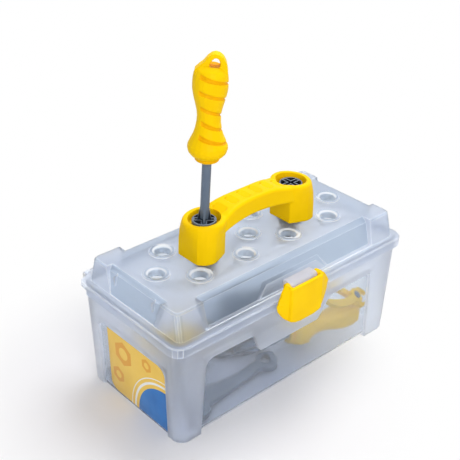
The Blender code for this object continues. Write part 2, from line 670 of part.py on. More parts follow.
def end_label():
    look = finish("printed_label", LABEL_BLUE, 0.30)
    corners = [(LABEL_FRONT, LABEL_BOTTOM), (LABEL_REAR, LABEL_BOTTOM),
               (LABEL_REAR, LABEL_TOP), (LABEL_FRONT, LABEL_TOP)]
    outline = filleted(corners, (LABEL_SMALL_CORNER, LABEL_CORNER, LABEL_SMALL_CORNER, LABEL_CORNER))
    seat = WINDOW_DEPTH - FIT_GAP
    inner = [(-(body_half_length(z) - seat), y, z) for y, z in outline]
    outer = [(x - LABEL_THICK, y, z) for x, y, z in inner]
    return make("end_label", [lofted([inner, outer])], look)


def hinge_pin(name, side):
    low = HINGE_INNER - FIT_GAP
    high = HINGE_OUTER + FIT_GAP
    profile = [(PIN_HEAD_RADIUS, low - PIN_HEAD_THICK), (PIN_HEAD_RADIUS, low), (PIN_RADIUS, low),
               (PIN_RADIUS, high), (PIN_HEAD_RADIUS, high), (PIN_HEAD_RADIUS, high + PIN_HEAD_THICK)]
    solid = turned(profile, KNUCKLE_STEPS, math.pi / KNUCKLE_STEPS)
    turn = Matrix.Translation((0.0, HINGE_Y, HINGE_Z)) @ Matrix.Rotation(side * math.pi / 2.0, 4, "Y")
    look = finish(name, STEEL, 0.3, metallic=1.0)
    return make(name, [moved(solid, turn)], look, origin=(0.0, HINGE_Y, HINGE_Z))


def bay_half(z, foot, top):
    """Half length of a bay at one height, its sides leaning apart upwards."""
    return foot + (top - foot) * (z - RIM_TOP) / LID_RISE


def side_bay(side, inset):
    """The recess along a long side of the dome, moved in by inset."""
    reach = CASE_HALF_WIDTH
    ridge_z = PLATE_TOP - BAY_RIDGE_DROP
    slope = (SIDE_BAY_RIDGE - SIDE_BAY_TOP) / BAY_RIDGE_DROP
    above = PLATE_TOP + OVERRUN
    foot = RIM_TOP + BAY_LEDGE - inset
    outline = [(side * (SIDE_BAY_TOP - inset - OVERRUN * slope), above),
               (side * (SIDE_BAY_RIDGE - inset), ridge_z),
               (side * (SIDE_BAY_FOOT - inset), foot),
               (side * reach, foot), (side * reach, above)]
    halves = [bay_half(z, SIDE_BAY_FOOT_HALF, SIDE_BAY_TOP_HALF) + inset for y, z in outline]
    left = [(-half, y, z) for half, (y, z) in zip(halves, outline)]
    right = [(half, y, z) for half, (y, z) in zip(halves, outline)]
    return lofted([left, right])


def end_bay(side, inset):
    """The recess in an end of the dome."""
    reach = CASE_HALF_LENGTH
    ridge_z = PLATE_TOP - BAY_RIDGE_DROP
    slope = (END_BAY_RIDGE - END_BAY_TOP) / BAY_RIDGE_DROP
    above = PLATE_TOP + OVERRUN
    foot = RIM_TOP + BAY_LEDGE - inset
    outline = [(side * (END_BAY_TOP - inset - OVERRUN * slope), above),
               (side * (END_BAY_RIDGE - inset), ridge_z),
               (side * (END_BAY_FOOT - inset), foot),
               (side * reach, foot), (side * reach, above)]
    halves = [bay_half(z, END_BAY_FOOT_HALF, END_BAY_TOP_HALF) + inset for x, z in outline]
    front = [(x, -half, z) for half, (x, z) in zip(halves, outline)]
    rear = [(x, half, z) for half, (x, z) in zip(halves, outline)]
    return lofted([front, rear])


def end_bay_wall(z):
    """x halfway through an end bay's wall at one height."""
    ridge_z = PLATE_TOP - BAY_RIDGE_DROP
    foot_z = RIM_TOP + BAY_LEDGE
    upper = END_BAY_RIDGE + (END_BAY_TOP - END_BAY_RIDGE) * (z - ridge_z) / BAY_RIDGE_DROP
    lower = END_BAY_RIDGE + (END_BAY_FOOT - END_BAY_RIDGE) * (ridge_z - z) / (ridge_z - foot_z)
    return (upper if z > ridge_z else lower) - SHEET / 2.0


def gusset(side, y):
    """A small rib in an end bay, rooted halfway through the bay's wall."""
    top = PLATE_TOP - GUSSET_TOP_DROP
    ridge_z = PLATE_TOP - BAY_RIDGE_DROP
    foot = PLATE_TOP - GUSSET_FOOT_DROP
    edge = END_BAY_RIDGE + GUSSET_REACH
    outline = [(side * end_bay_wall(top), top), (side * edge, top - GUSSET_REACH), (side * edge, foot),
               (side * end_bay_wall(foot), foot), (side * end_bay_wall(ridge_z), ridge_z)]
    return along_y(outline, y - GUSSET_THICK / 2.0, y + GUSSET_THICK / 2.0)


def tool_hole_places():
    places = []
    for row in (-1.0, 1.0):
        places += [(offset * HOLE_SPACING, row * HOLE_ROW) for offset in (-1.5, -0.5, 0.5, 1.5)]
    return places + [(offset * HOLE_SPACING, 0.0) for offset in (-2.0, 0.0, 2.0)]


def bolt_places():
    return ((-HOLE_SPACING, 0.0), (HOLE_SPACING, 0.0))


def tool_ring(x, y):
    """Raised ring and hanging tube round a tool hole, still solid."""
    tube = TOOL_HOLE_RADIUS + TOOL_TUBE_WALL
    low = PLATE_TOP - SHEET - TOOL_TUBE_DROP
    high = PLATE_TOP + TOOL_RING_RISE
    seat = PLATE_TOP - SHEET / 2.0
    edge = PLATE_TOP + TOOL_RING_RISE / 3.0
    profile = [(tube, low), (tube, seat), (TOOL_RING_RADIUS, seat),
               (TOOL_RING_RADIUS, edge), (TOOL_RING_RADIUS - TOOL_RING_RISE, high)]
    return moved(turned(profile, HOLE_STEPS), spot(x, y))


def tool_hole(x, y):
    low = PLATE_TOP - SHEET - TOOL_TUBE_DROP - OVERRUN
    high = PLATE_TOP + TOOL_RING_RISE
    mouth = TOOL_HOLE_RADIUS + TOOL_MOUTH
    profile = [(TOOL_HOLE_RADIUS, low), (TOOL_HOLE_RADIUS, high - TOOL_MOUTH),
               (mouth, high), (mouth + OVERRUN, high + OVERRUN)]
    return moved(turned(profile, HOLE_STEPS), spot(x, y))


def latch_lug():
    """Block on the shelf that carries the latch between its ears."""
    foot = RIM_TOP - SHEET / 2.0
    outline = [(LUG_FRONT, foot), (LUG_FRONT, LUG_TOP - LUG_EDGE), (LUG_FRONT + LUG_EDGE, LUG_TOP),
               (LUG_BACK, LUG_TOP), (LUG_BACK, foot)]
    return along_x(outline, -LUG_HALF, LUG_HALF)


def latch_pad():
    """Trapezoid raised on the front bay behind the latch."""
    foot_z = RIM_TOP - SHEET / 2.0
    top_z = PLATE_TOP - PAD_TOP_DROP
    ridge_z = PLATE_TOP - BAY_RIDGE_DROP
    lean = (SIDE_BAY_FOOT - SIDE_BAY_RIDGE) / (ridge_z - RIM_TOP)
    foot_y = SIDE_BAY_RIDGE + lean * (ridge_z - foot_z)
    top_y = SIDE_BAY_RIDGE + lean * (ridge_z - top_z)
    buried = SHEET / 2.0
    back = [(-PAD_HALF_FOOT, buried - foot_y, foot_z), (PAD_HALF_FOOT, buried - foot_y, foot_z),
            (PAD_HALF_TOP, buried - top_y, top_z), (-PAD_HALF_TOP, buried - top_y, top_z)]
    edge = [(x, y - buried, z) for x, y, z in back]
    half_foot = PAD_HALF_FOOT - PAD_SLOPE
    half_top = PAD_HALF_TOP - PAD_SLOPE
    front_y = -top_y - PAD_THICK - lean * PAD_SLOPE
    face = [(-half_foot, -foot_y - PAD_THICK, foot_z), (half_foot, -foot_y - PAD_THICK, foot_z),
            (half_top, front_y, top_z - PAD_SLOPE), (-half_top, front_y, top_z - PAD_SLOPE)]
    return lofted([face, edge, back])


def dome_ring(z, inset, radius, top):
    half_length = DOME_TOP_HALF_LENGTH if top else DOME_FOOT_HALF_LENGTH
    half_width = DOME_TOP_HALF_WIDTH if top else DOME_FOOT_HALF_WIDTH
    return rounded_rectangle(half_length - inset, half_width - inset, radius, z)


def rim_ring(z, inset):
    return rounded_rectangle(CASE_HALF_LENGTH - inset, CASE_HALF_WIDTH - inset, CASE_CORNER - inset, z)


def lid_cavity():
    """The space under the lid, kept one wall away from the bays."""
    under = RIM_TOP - SHEET
    rings = [rim_ring(RIM_TOP - SKIRT_DROP - OVERRUN, SHEET), rim_ring(under, SHEET),
             dome_ring(under, SHEET, DOME_CORNER - SHEET, False),
             dome_ring(PLATE_TOP - SHEET, SHEET, DOME_CORNER - SHEET, True)]
    cavity = make("lid_cavity", [lofted(rings)])
    for name, side in (("front", -1.0), ("rear", 1.0)):
        cut(cavity, name + "_bay_back", [side_bay(side, SHEET)])
    cut(cavity, "end_bay_backs", [end_bay(-1.0, SHEET), end_bay(1.0, SHEET)])
    return cavity


def lid_knuckle(low, high):
    """Arm from the lid's rear edge to its knuckle."""
    base = CASE_HALF_WIDTH - SHEET / 2.0
    arm = [(base, RIM_TOP - REAR_SKIRT_DROP + FIT_GAP), (base, RIM_TOP - FIT_GAP),
           (HINGE_Y, HINGE_Z + KNUCKLE_RADIUS * LID_ARM_TOP_SHARE),
           (HINGE_Y, HINGE_Z - KNUCKLE_RADIUS * LID_ARM_LOW_SHARE)]
    return along_x(arm, low, high)


def lid_shell():
    look = finish("frosted_lid", FROSTED, 0.35, alpha=0.45)
    rings = [rim_ring(RIM_TOP - SKIRT_DROP, 0.0),
             rim_ring(RIM_TOP - RIM_EDGE, 0.0),
             rim_ring(RIM_TOP, RIM_EDGE),
             dome_ring(RIM_TOP, 0.0, DOME_CORNER, False),
             dome_ring(PLATE_TOP - DOME_EDGE, 0.0, DOME_CORNER, True),
             dome_ring(PLATE_TOP, DOME_EDGE, DOME_CORNER - DOME_EDGE, True)]
    lid = make("lid_shell", [lofted(rings)], look, origin=(0.0, HINGE_Y, HINGE_Z))
    for name, side in (("front", -1.0), ("rear", 1.0)):
        cut(lid, name + "_bay", [side_bay(side, 0.0)])
    cut(lid, "end_bays", [end_bay(-1.0, 0.0), end_bay(1.0, 0.0)])
    apply_tool(lid, lid_cavity(), "DIFFERENCE")
    reach = CASE_HALF_LENGTH + OVERRUN
    low = (-reach, REAR_SKIRT_START, RIM_TOP - SKIRT_DROP - OVERRUN)
    cut(lid, "rear_skirt_cut", [block(low, (reach, CASE_HALF_WIDTH + OVERRUN, RIM_TOP - REAR_SKIRT_DROP))])
    join(lid, "tool_rings", [tool_ring(x, y) for x, y in tool_hole_places()])
    join(lid, "end_gussets", [gusset(side, row * GUSSET_Y) for side in (-1.0, 1.0) for row in (-1.0, 1.0)])
    join(lid, "latch_pad", [latch_pad()])
    join(lid, "latch_lug", [latch_lug()])
    join(lid, "lid_arms", [lid_knuckle(low_x, high_x) for low_x, high_x in lid_knuckle_rows()])
    join(lid, "lid_knuckles", [barrel(KNUCKLE_RADIUS, low_x, high_x) for low_x, high_x in lid_knuckle_rows()])
    cut(lid, "tool_holes", [tool_hole(x, y) for x, y in tool_hole_places()])
    bolt_bore = BOLT_SHANK_RADIUS + BORE_GAP
    bores = [(bolt_bore, PLATE_TOP - SHEET - OVERRUN), (bolt_bore, PLATE_TOP + OVERRUN)]
    cut(lid, "lid_bolt_bores", [moved(turned(bores, BOLT_STEPS), spot(x, y)) for x, y in bolt_places()])
    pin_bore = PIN_RADIUS + PIN_BORE_GAP
    rows = lid_knuckle_rows()
    cut(lid, "lid_pin_bores", [barrel(pin_bore, low_x - OVERRUN, high_x + OVERRUN) for low_x, high_x in rows])
    socket = TRUNNION_RADIUS + FIT_GAP
    depth = TRUNNION_LENGTH + FIT_GAP * 2.0
    sockets = []
    for side in (-1.0, 1.0):
        solid = turned([(socket, LUG_HALF - depth), (socket, LUG_HALF + OVERRUN)], KNUCKLE_STEPS)
        pivot = Matrix.Translation((0.0, LATCH_PIVOT_Y, LATCH_PIVOT_Z))
        sockets.append(moved(solid, pivot @ Matrix.Rotation(side * math.pi / 2.0, 4, "Y")))
    cut(lid, "trunnion_sockets", sockets)
    return lid


def latch_section(half, z):
    """One level of the latch plate, front and back, seen from above."""
    panel = min(LATCH_PANEL_HALF, half - LATCH_THICK / 4.0)
    slope = (LATCH_WING_BACK - LATCH_FRONT) / (LATCH_WING_HALF - LATCH_PANEL_HALF)
    edge = LATCH_FRONT + slope * max(half - LATCH_PANEL_HALF, 0.0)
    back = LATCH_FRONT + LATCH_THICK
    edge_back = min(edge + LATCH_THICK, LATCH_BACK_LIMIT)
    front = [(-half, edge), (-panel, LATCH_FRONT), (panel, LATCH_FRONT), (half, edge)]
    rear = [(half, edge_back), (panel, back), (-panel, back), (-half, edge_back)]
    return [(x, y, z) for x, y in front + rear]


def latch_clip():
    look = finish("yellow_latch", YELLOW, 0.40)
    rings = []
    for half_share, height_share in LATCH_OUTLINE_SHARES:
        height = LATCH_BOTTOM + height_share * (LATCH_TOP - LATCH_BOTTOM)
        rings.append(latch_section(half_share * LATCH_WING_HALF, height))
    pivot = (0.0, LATCH_PIVOT_Y, LATCH_PIVOT_Z)
    clip = make("latch_clip", [lofted(rings)], look, origin=pivot)
    ears = []
    trunnions = []
    for side in (-1.0, 1.0):
        low = side * (LUG_HALF + FIT_GAP)
        high = low + side * EAR_THICK
        outline = [(LATCH_FRONT + LATCH_THICK / 2.0, EAR_FOOT), (LATCH_BACK_LIMIT, EAR_FOOT)]
        for k in range(7):
            turn = math.radians(-60.0 + 40.0 * k)
            across = EAR_ROUND * math.cos(turn)
            rise = EAR_ROUND * math.sin(turn)
            outline.append((LATCH_PIVOT_Y + across, LATCH_PIVOT_Z + rise))
        outline.append((LATCH_FRONT + LATCH_THICK / 2.0, LATCH_TOP - LATCH_THICK / 4.0))
        ears.append(along_x(outline, low, high))
        tip = side * (LUG_HALF - TRUNNION_LENGTH)
        solid = turned([(TRUNNION_RADIUS, min(tip, low + side * EAR_THICK / 2.0)),
                        (TRUNNION_RADIUS, max(tip, low + side * EAR_THICK / 2.0))], KNUCKLE_STEPS)
        turn = Matrix.Translation(pivot) @ Matrix.Rotation(math.pi / 2.0, 4, "Y")
        trunnions.append(moved(solid, turn))
    join(clip, "latch_ears", ears)
    join(clip, "latch_trunnions", trunnions)
    wall = body_half_width(CATCH_BOTTOM)
    tip = -wall - CATCH_REACH - FIT_GAP
    top = CATCH_BOTTOM - FIT_GAP * 3.0
    root = LATCH_FRONT + LATCH_THICK / 2.0
    hook = [(root, top - HOOK_HEIGHT), (tip, top - HOOK_HEIGHT / 3.0), (tip, top), (root, top)]
    join(clip, "latch_hook", [along_x(hook, -HOOK_HALF, HOOK_HALF)])
    return clip


def post_foot_share(turn):
    """How far a post's foot reaches in one direction, 0 being away from the other post."""
    ray = Vector((math.cos(turn), abs(math.sin(turn)))) * 2.0
    for near, far in zip(POST_FOOT_SHARES, POST_FOOT_SHARES[1:]):
        met = intersect_line_line_2d((0.0, 0.0), ray, near, far)
        if met:
            return met.length
    return 1.0


def post_ring(height_share, roundness, drop, inset):
    """One level of a post, lying level at the foot and leaning up to the bar at the top."""
    height = PLATE_TOP + FIT_GAP + height_share * HANDLE_POST_HEIGHT - drop
    slope = height_share * POST_TOP_SLOPE_SHARE
    ring = []
    for k in range(POST_STEPS):
        turn = 2.0 * math.pi * k / POST_STEPS
        share = post_foot_share(turn) * (1.0 - roundness) + roundness
        reach = share * HANDLE_POST_HALF - inset
        out = reach * math.cos(turn)
        ring.append((out, reach * math.sin(turn), height - slope * out))
    return ring


def handle_post(x, y):
    """Post with a flat inner face at its foot, round at its top."""
    rings = [post_ring(height_share, roundness, 0.0, 0.0) for height_share, roundness in POST_RING_SHARES]
    rings.append(post_ring(1.0, 1.0, HANDLE_POST_EDGE * 2.0 / 3.0, HANDLE_POST_EDGE / 4.0))
    rings.append(post_ring(1.0, 1.0, 0.0, HANDLE_POST_EDGE))
    facing = 0.0 if x > 0.0 else math.pi
    return moved(lofted(rings), spot(x, y, 0.0, facing))


def bar_section(x):
    """Rounded section of the bar at one station."""
    reach = abs(x) / BAR_RUN
    post_top = PLATE_TOP + FIT_GAP + HANDLE_POST_HEIGHT
    top = bar_top(x) - FIT_GAP
    low = post_top + BAR_TOP_RISE - BAR_THICK - BAR_END_DROP * reach ** 2
    half = BAR_HALF_WIDTH + BAR_END_WIDENING * reach ** 2
    middle = (top + low) / 2.0
    ring = rounded_rectangle(half, (top - low) / 2.0, BAR_CORNER, 0.0, steps=3)
    return [(x, y, middle + z) for y, z, _ in ring]


def bar_top(x):
    fall = (abs(x) / BAR_RUN) ** BAR_ARCH_SHARE
    return PLATE_TOP + FIT_GAP + HANDLE_POST_HEIGHT + BAR_TOP_RISE * (1.0 - fall)


def grip_slot(x):
    """One sloping groove across the bar."""
    half = BAR_HALF_WIDTH - GRIP_SLOT_BORDER
    left = x - GRIP_SLOT_WIDTH / 2.0
    right = x + GRIP_SLOT_WIDTH / 2.0
    outline = [(left, bar_top(left) - FIT_GAP), (right, bar_top(right) - GRIP_SLOT_DEPTH),
               (right, bar_top(0.0) + OVERRUN), (left, bar_top(0.0) + OVERRUN)]
    return along_y(outline, -half, half)


def handle():
    look = finish("yellow_handle", YELLOW, 0.40)
    posts = [handle_post(x, y) for x, y in bolt_places()]
    grip = make("handle", [posts[0]], look)
    join(grip, "right_post", [posts[1]])
    stations = [BAR_RUN * (2.0 * k / BAR_STATIONS - 1.0) for k in range(BAR_STATIONS + 1)]
    join(grip, "handle_bar", [lofted([bar_section(x) for x in stations])])
    middle = (GRIP_SLOT_COUNT - 1) / 2.0
    cut(grip, "grip_slots", [grip_slot((k - middle) * GRIP_SLOT_PITCH) for k in range(GRIP_SLOT_COUNT)])
    top = PLATE_TOP + FIT_GAP + HANDLE_POST_HEIGHT
    bore = BOLT_SHANK_RADIUS + BORE_GAP
    wells = []
    for x, y in bolt_places():
        profile = [(bore, PLATE_TOP - OVERRUN), (bore, top - WELL_DEPTH),
                   (WELL_RADIUS - WELL_TAPER, top - WELL_DEPTH), (WELL_RADIUS, top - WELL_TAPER),
                   (WELL_RADIUS + BAR_TOP_RISE / 5.0, top + BAR_TOP_RISE)]
        wells.append(moved(turned(profile, BOLT_STEPS), spot(x, y)))
    cut(grip, "bolt_wells", wells)
    return grip


def bolt_solid():
    """Head and shank, head underside at z=0, hanging down."""
    edge = BOLT_RING_WALL / 3.0
    profile = [(BOLT_SHANK_RADIUS - edge, -BOLT_LENGTH), (BOLT_SHANK_RADIUS, -BOLT_LENGTH + edge),
               (BOLT_SHANK_RADIUS, 0.0), (BOLT_HEAD_RADIUS, 0.0), (BOLT_HEAD_RADIUS, BOLT_HEAD_HEIGHT - edge),
               (BOLT_HEAD_RADIUS - edge, BOLT_HEAD_HEIGHT)]
    return turned(profile, BOLT_STEPS)


def slot_solids():
    """Cross slot and the four pockets between its ribs, cut down from the head's top."""
    high = BOLT_HEAD_HEIGHT + OVERRUN
    low = BOLT_HEAD_HEIGHT - BOLT_SLOT_DEPTH
    inner = BOLT_HEAD_RADIUS - BOLT_RING_WALL
    half = BOLT_SLOT_WIDTH / 2.0
    arm = inner - BOLT_RIB
    cross = [(half, half), (arm, half), (arm, -half), (half, -half), (half, -arm), (-half, -arm),
             (-half, -half), (-arm, -half), (-arm, half), (-half, half), (-half, arm), (half, arm)]
    solids = [plate(cross[::-1], low, high)]
    rib = half + BOLT_RIB
    start = math.asin(rib / inner)
    for quarter in range(4):
        outline = [(rib, rib)]
        for k in range(5):
            turn = start + (math.pi / 2.0 - 2.0 * start) * k / 4.0
            outline.append((inner * math.cos(turn), inner * math.sin(turn)))
        turned_by = Matrix.Rotation(quarter * math.pi / 2.0, 4, "Z")
        solids.append(moved(plate(outline, low + FIT_GAP, high), turned_by))
    return solids


def handle_bolt(name, x, y, heading):
    look = finish(name, SLATE, 0.45)
    seat = PLATE_TOP + FIT_GAP + HANDLE_POST_HEIGHT - WELL_DEPTH + FIT_GAP
    place = spot(x, y, seat, heading)
    bolt = make(name, [moved(bolt_solid(), place)], look, origin=(x, y, seat))
    cut(bolt, name + "_slots", [moved(solid, place) for solid in slot_solids()])
    return bolt


def nut_outline():
    radius = NUT_ACROSS_FLATS / math.sqrt(3.0)
    return [(radius * math.cos(k * math.pi / 3.0), radius * math.sin(k * math.pi / 3.0)) for k in range(6)]


def nut_solid():
    """Six-sided nut standing on z=0, with chamfered faces."""
    rings = []
    shoulder = NUT_HEIGHT - NUT_EDGE
    for inset, height in ((NUT_EDGE, 0.0), (0.0, NUT_EDGE), (0.0, shoulder), (NUT_EDGE, NUT_HEIGHT)):
        scale = 1.0 - inset / (NUT_ACROSS_FLATS / 2.0)
        rings.append([(x * scale, y * scale, height) for x, y in nut_outline()])
    return lofted(rings)


def nut_bore():
    bore = BOLT_SHANK_RADIUS + BORE_GAP
    return turned([(bore, -OVERRUN), (bore, NUT_HEIGHT + OVERRUN)], BOLT_STEPS)


def lid_nut(name, x, y):
    look = finish(name, SLATE, 0.45)
    place = spot(x, y, PLATE_TOP - SHEET - FIT_GAP - NUT_HEIGHT)
    nut = make(name, [moved(nut_solid(), place)], look, origin=(x, y, PLATE_TOP))
    cut(nut, name + "_bore", [moved(nut_bore(), place)])
    return nut


def grip_radius_at(share, radius):
    """Radius of the grip at a share of its height."""
    table = GRIP_PROFILE_SHARES
    for (low, low_r), (high, high_r) in zip(table, table[1:]):
        if low <= share <= high:
            return radius * (low_r + (high_r - low_r) * (share - low) / (high - low))
    return 0.0


def swirl(height_share, radius):
    """Cutter for one swirling groove: a square bar wound part way round the grip."""
    rings = []
    for k in range(SWIRL_POINTS):
        share = k / (SWIRL_POINTS - 1.0)
        turn = SWIRL_START + SWIRL_RUN * share
        height = height_share * GRIP_LENGTH - SWIRL_DROP * share
        surface = grip_radius_at(height / GRIP_LENGTH, radius)
        half = SWIRL_WIDTH / 2.0 * (1.0 - (1.0 - SWIRL_TAIL_SHARE) * share)
        near = surface - SWIRL_DEPTH
        far = surface + OVERRUN * 2.0
        across = Vector((math.cos(turn), math.sin(turn), 0.0))
        lift = Vector((0.0, 0.0, 1.0))
        ring = [across * near + lift * (height - half), across * far + lift * (height - half),
                across * far + lift * (height + half), across * near + lift * (height + half)]
        rings.append([tuple(point) for point in ring])
    return lofted(rings)


def tool_grip(name, place, radius, steps):
    """Waisted grip with a flat hanging loop, collar at the local origin, pointing up its own Z."""
    look = finish(name, YELLOW, 0.38)
    profile = [(r * radius, z * GRIP_LENGTH) for z, r in GRIP_PROFILE_SHARES]
    grip = make(name, [moved(turned(profile, steps), place)], look)
    half = LOOP_THICK / 2.0
    tab = [(x * radius, z * GRIP_LENGTH) for x, z in LOOP_SHARES]
    join(grip, name + "_tab", [moved(along_y(tab, -half, half), place)])
    swirls = [moved(swirl(share, radius), place) for share in SWIRL_HEIGHT_SHARES]
    cut(grip, name + "_swirls", swirls)
    hole = [(x * radius, z * GRIP_LENGTH) for x, z in LOOP_HOLE_SHARES]
    cut(grip, name + "_eye", [moved(along_y(hole, -half - OVERRUN, half + OVERRUN), place)])
    bore = SHAFT_RADIUS + FIT_GAP
    cut(grip, name + "_bore", [moved(turned([(bore, -OVERRUN), (bore, SHAFT_SEAT)], SHAFT_STEPS), place)])
    return grip


def driver_shaft(name, place):
    """Round shaft with four flared fins at its tip, tip at the local origin."""
    look = finish(name, SLATE, 0.42)
    top = SHAFT_EXPOSED + SHAFT_SEAT - FIT_GAP
    core = SHAFT_RADIUS * CORE_SHARE
    profile = [(core, CORE_START), (SHAFT_RADIUS, FIN_HEIGHT), (SHAFT_RADIUS, top)]
    shaft = make(name, [moved(turned(profile, SHAFT_STEPS, math.pi / SHAFT_STEPS), place)], look)
    half = FIN_SPAN / 2.0
    neck = SHAFT_RADIUS * NECK_SHARE
    outline = [(-half, 0.0), (half, 0.0), (half, FIN_STRAIGHT),
               (neck, FIN_HEIGHT), (-neck, FIN_HEIGHT), (-half, FIN_STRAIGHT)]
    fin = FIN_THICK / 2.0
    join(shaft, name + "_fin", [moved(along_y(outline, -fin, fin), place)])
    quarter = place @ Matrix.Rotation(math.pi / 2.0, 4, "Z")
    lower = [(x, z - FIT_GAP / 4.0) for x, z in outline]
    join(shaft, name + "_cross_fin", [moved(along_y(lower, -fin, fin), quarter)])
    return shaft


def standing_screwdriver():
    """The screwdriver that stands in the left bolt, leaning a little."""
    seat = PLATE_TOP + FIT_GAP + HANDLE_POST_HEIGHT - WELL_DEPTH + FIT_GAP
    floor = seat + BOLT_HEAD_HEIGHT - BOLT_SLOT_DEPTH + TIP_CLEARANCE
    lean = Matrix.Rotation(SCREWDRIVER_LEAN, 4, "Y")
    place = spot(-HOLE_SPACING, 0.0, floor, SCREWDRIVER_HEADING) @ lean
    driver_shaft("screwdriver_shaft", place)
    collar = place @ Matrix.Translation((0.0, 0.0, SHAFT_EXPOSED))
    tool_grip("screwdriver_handle", collar, GRIP_RADIUS, GRIP_STEPS)


def lying(start, heading, radius, tilt, spin=0.0):
    """Placement of a grip lying on the case floor: its Z runs along the heading, tilted down by tilt."""
    height = FLOOR + radius
    return (spot(start[0], start[1], height, heading) @ Matrix.Rotation(math.pi / 2.0 + tilt, 4, "Y")
            @ Matrix.Rotation(spin, 4, "Z"))


def spare_screwdriver():
    flare = GRIP_FLARE_SHARE * GRIP_LENGTH
    bulge = GRIP_BULGE_SHARE * GRIP_LENGTH
    tilt = math.asin(GRIP_BULGE_LOSS_SHARE * GRIP_RADIUS / (bulge - flare))
    place = lying(SPARE_START, SPARE_HEADING, GRIP_RADIUS, tilt, math.pi / 2.0)
    place = Matrix.Translation((0.0, 0.0, flare * math.sin(tilt) + FIT_GAP / 3.0)) @ place
    tool_grip("spare_screwdriver_handle", place, GRIP_RADIUS, LYING_GRIP_STEPS)
    driver_shaft("spare_screwdriver_shaft", place @ Matrix.Translation((0.0, 0.0, -SHAFT_EXPOSED)))


def hammer():
    place = lying(HAMMER_START, HAMMER_HEADING, HAMMER_GRIP_RADIUS, 0.0, math.pi / 2.0)
    tool_grip("hammer_handle", place, HAMMER_GRIP_RADIUS, LYING_GRIP_STEPS)
    look = finish("hammer_shaft", SLATE, 0.42)
    top = HAMMER_SHAFT_EXPOSED + SHAFT_SEAT - FIT_GAP
    below = HAMMER_SEAT - FIT_GAP
    profile = [(SHAFT_RADIUS, -below), (SHAFT_RADIUS, top)]
    down = place @ Matrix.Translation((0.0, 0.0, -HAMMER_SHAFT_EXPOSED))
    make("hammer_shaft", [moved(turned(profile, SHAFT_STEPS, math.pi / SHAFT_STEPS), down)], look)
    head_look = finish("hammer_head", SLATE, 0.45)
    head_drop = HAMMER_HEAD_RADIUS * HAMMER_HEAD_SEAT_SHARE + FIT_GAP
    head_centre = down @ Matrix.Translation((0.0, 0.0, -head_drop))
    across = head_centre @ Matrix.Rotation(math.pi / 2.0, 4, "Y")
    spine = [(r * HAMMER_HEAD_RADIUS, z * HAMMER_HEAD_LENGTH) for z, r in HAMMER_HEAD_SHARES]
    drop = Matrix.Translation((0.0, 0.0, HAMMER_HEAD_RADIUS - HAMMER_GRIP_RADIUS))
    head = make("hammer_head", [moved(turned(spine, BOLT_STEPS), drop @ across)], head_look)
    socket = SHAFT_RADIUS + FIT_GAP
    bore = turned([(socket, -HAMMER_SEAT), (socket, HAMMER_HEAD_RADIUS)], SHAFT_STEPS, math.pi / SHAFT_STEPS)
    cut(head, "hammer_eye", [moved(bore, down)])


def spanner():
    """Open jaw at one end, ring at the other, lying flat."""
    look = finish("spanner", SLATE, 0.45)
    place = spot(SPANNER_CENTRE[0], SPANNER_CENTRE[1], FLOOR, SPANNER_HEADING)
    half = SPANNER_LENGTH / 2.0
    jaw_x = -half + SPANNER_HEAD_RADIUS
    ring_x = half - SPANNER_RING_RADIUS
    bar = plate([(jaw_x, -SPANNER_HALF_WIDTH), (ring_x, -SPANNER_HALF_WIDTH),
                 (ring_x, SPANNER_HALF_WIDTH), (jaw_x, SPANNER_HALF_WIDTH)], FIT_GAP, SPANNER_THICK - FIT_GAP)
    tool = make("spanner", [moved(bar, place)], look)
    jaw = turned([(SPANNER_HEAD_RADIUS, 0.0), (SPANNER_HEAD_RADIUS, SPANNER_THICK)], BOLT_STEPS)
    ring = turned([(SPANNER_RING_RADIUS, 0.0), (SPANNER_RING_RADIUS, SPANNER_THICK)], BOLT_STEPS)
    join(tool, "spanner_ends", [moved(jaw, place @ spot(jaw_x, 0.0)), moved(ring, place @ spot(ring_x, 0.0))])
    mouth = block((-SPANNER_HEAD_RADIUS - OVERRUN, -SPANNER_JAW_HALF, -OVERRUN),
                  (SPANNER_JAW_DEPTH - SPANNER_HEAD_RADIUS, SPANNER_JAW_HALF, SPANNER_THICK + OVERRUN))
    hole = turned([(SPANNER_RING_HOLE, -OVERRUN), (SPANNER_RING_HOLE, SPANNER_THICK + OVERRUN)], 6)
    mouths = [moved(mouth, place @ spot(jaw_x, 0.0)), moved(hole, place @ spot(ring_x, 0.0))]
    cut(tool, "spanner_mouths", mouths)


def play_bolt(name, x, y, heading):
    """Spare bolt lying on the floor, resting on its head and its point."""
    look = finish(name, SLATE, 0.45)
    tilt = math.atan((BOLT_HEAD_RADIUS - BOLT_SHANK_RADIUS) / BOLT_LENGTH)
    height = FLOOR + BOLT_HEAD_RADIUS * math.cos(tilt)
    place = spot(x, y, height, math.radians(heading)) @ Matrix.Rotation(tilt - math.pi / 2.0, 4, "Y")
    bolt = make(name, [moved(bolt_solid(), place)], look)
    cut(bolt, name + "_slots", [moved(solid, place) for solid in slot_solids()])


def play_nut(name, x, y, heading):
    look = finish(name, SLATE, 0.45)
    place = spot(x, y, FLOOR, math.radians(heading))
    nut = make(name, [moved(nut_solid(), place)], look)
    cut(nut, name + "_bore", [moved(nut_bore(), place)])


def loose_hardware():
    for number, (x, y, heading) in enumerate(PLAY_BOLT_SHARES, start=1):
        play_bolt("play_bolt_" + str(number), x * CASE_HALF_LENGTH, y * CASE_HALF_WIDTH, heading)
    for number, (x, y, heading) in enumerate(PLAY_NUT_SHARES, start=1):
        play_nut("play_nut_" + str(number), x * CASE_HALF_LENGTH, y * CASE_HALF_WIDTH, heading)


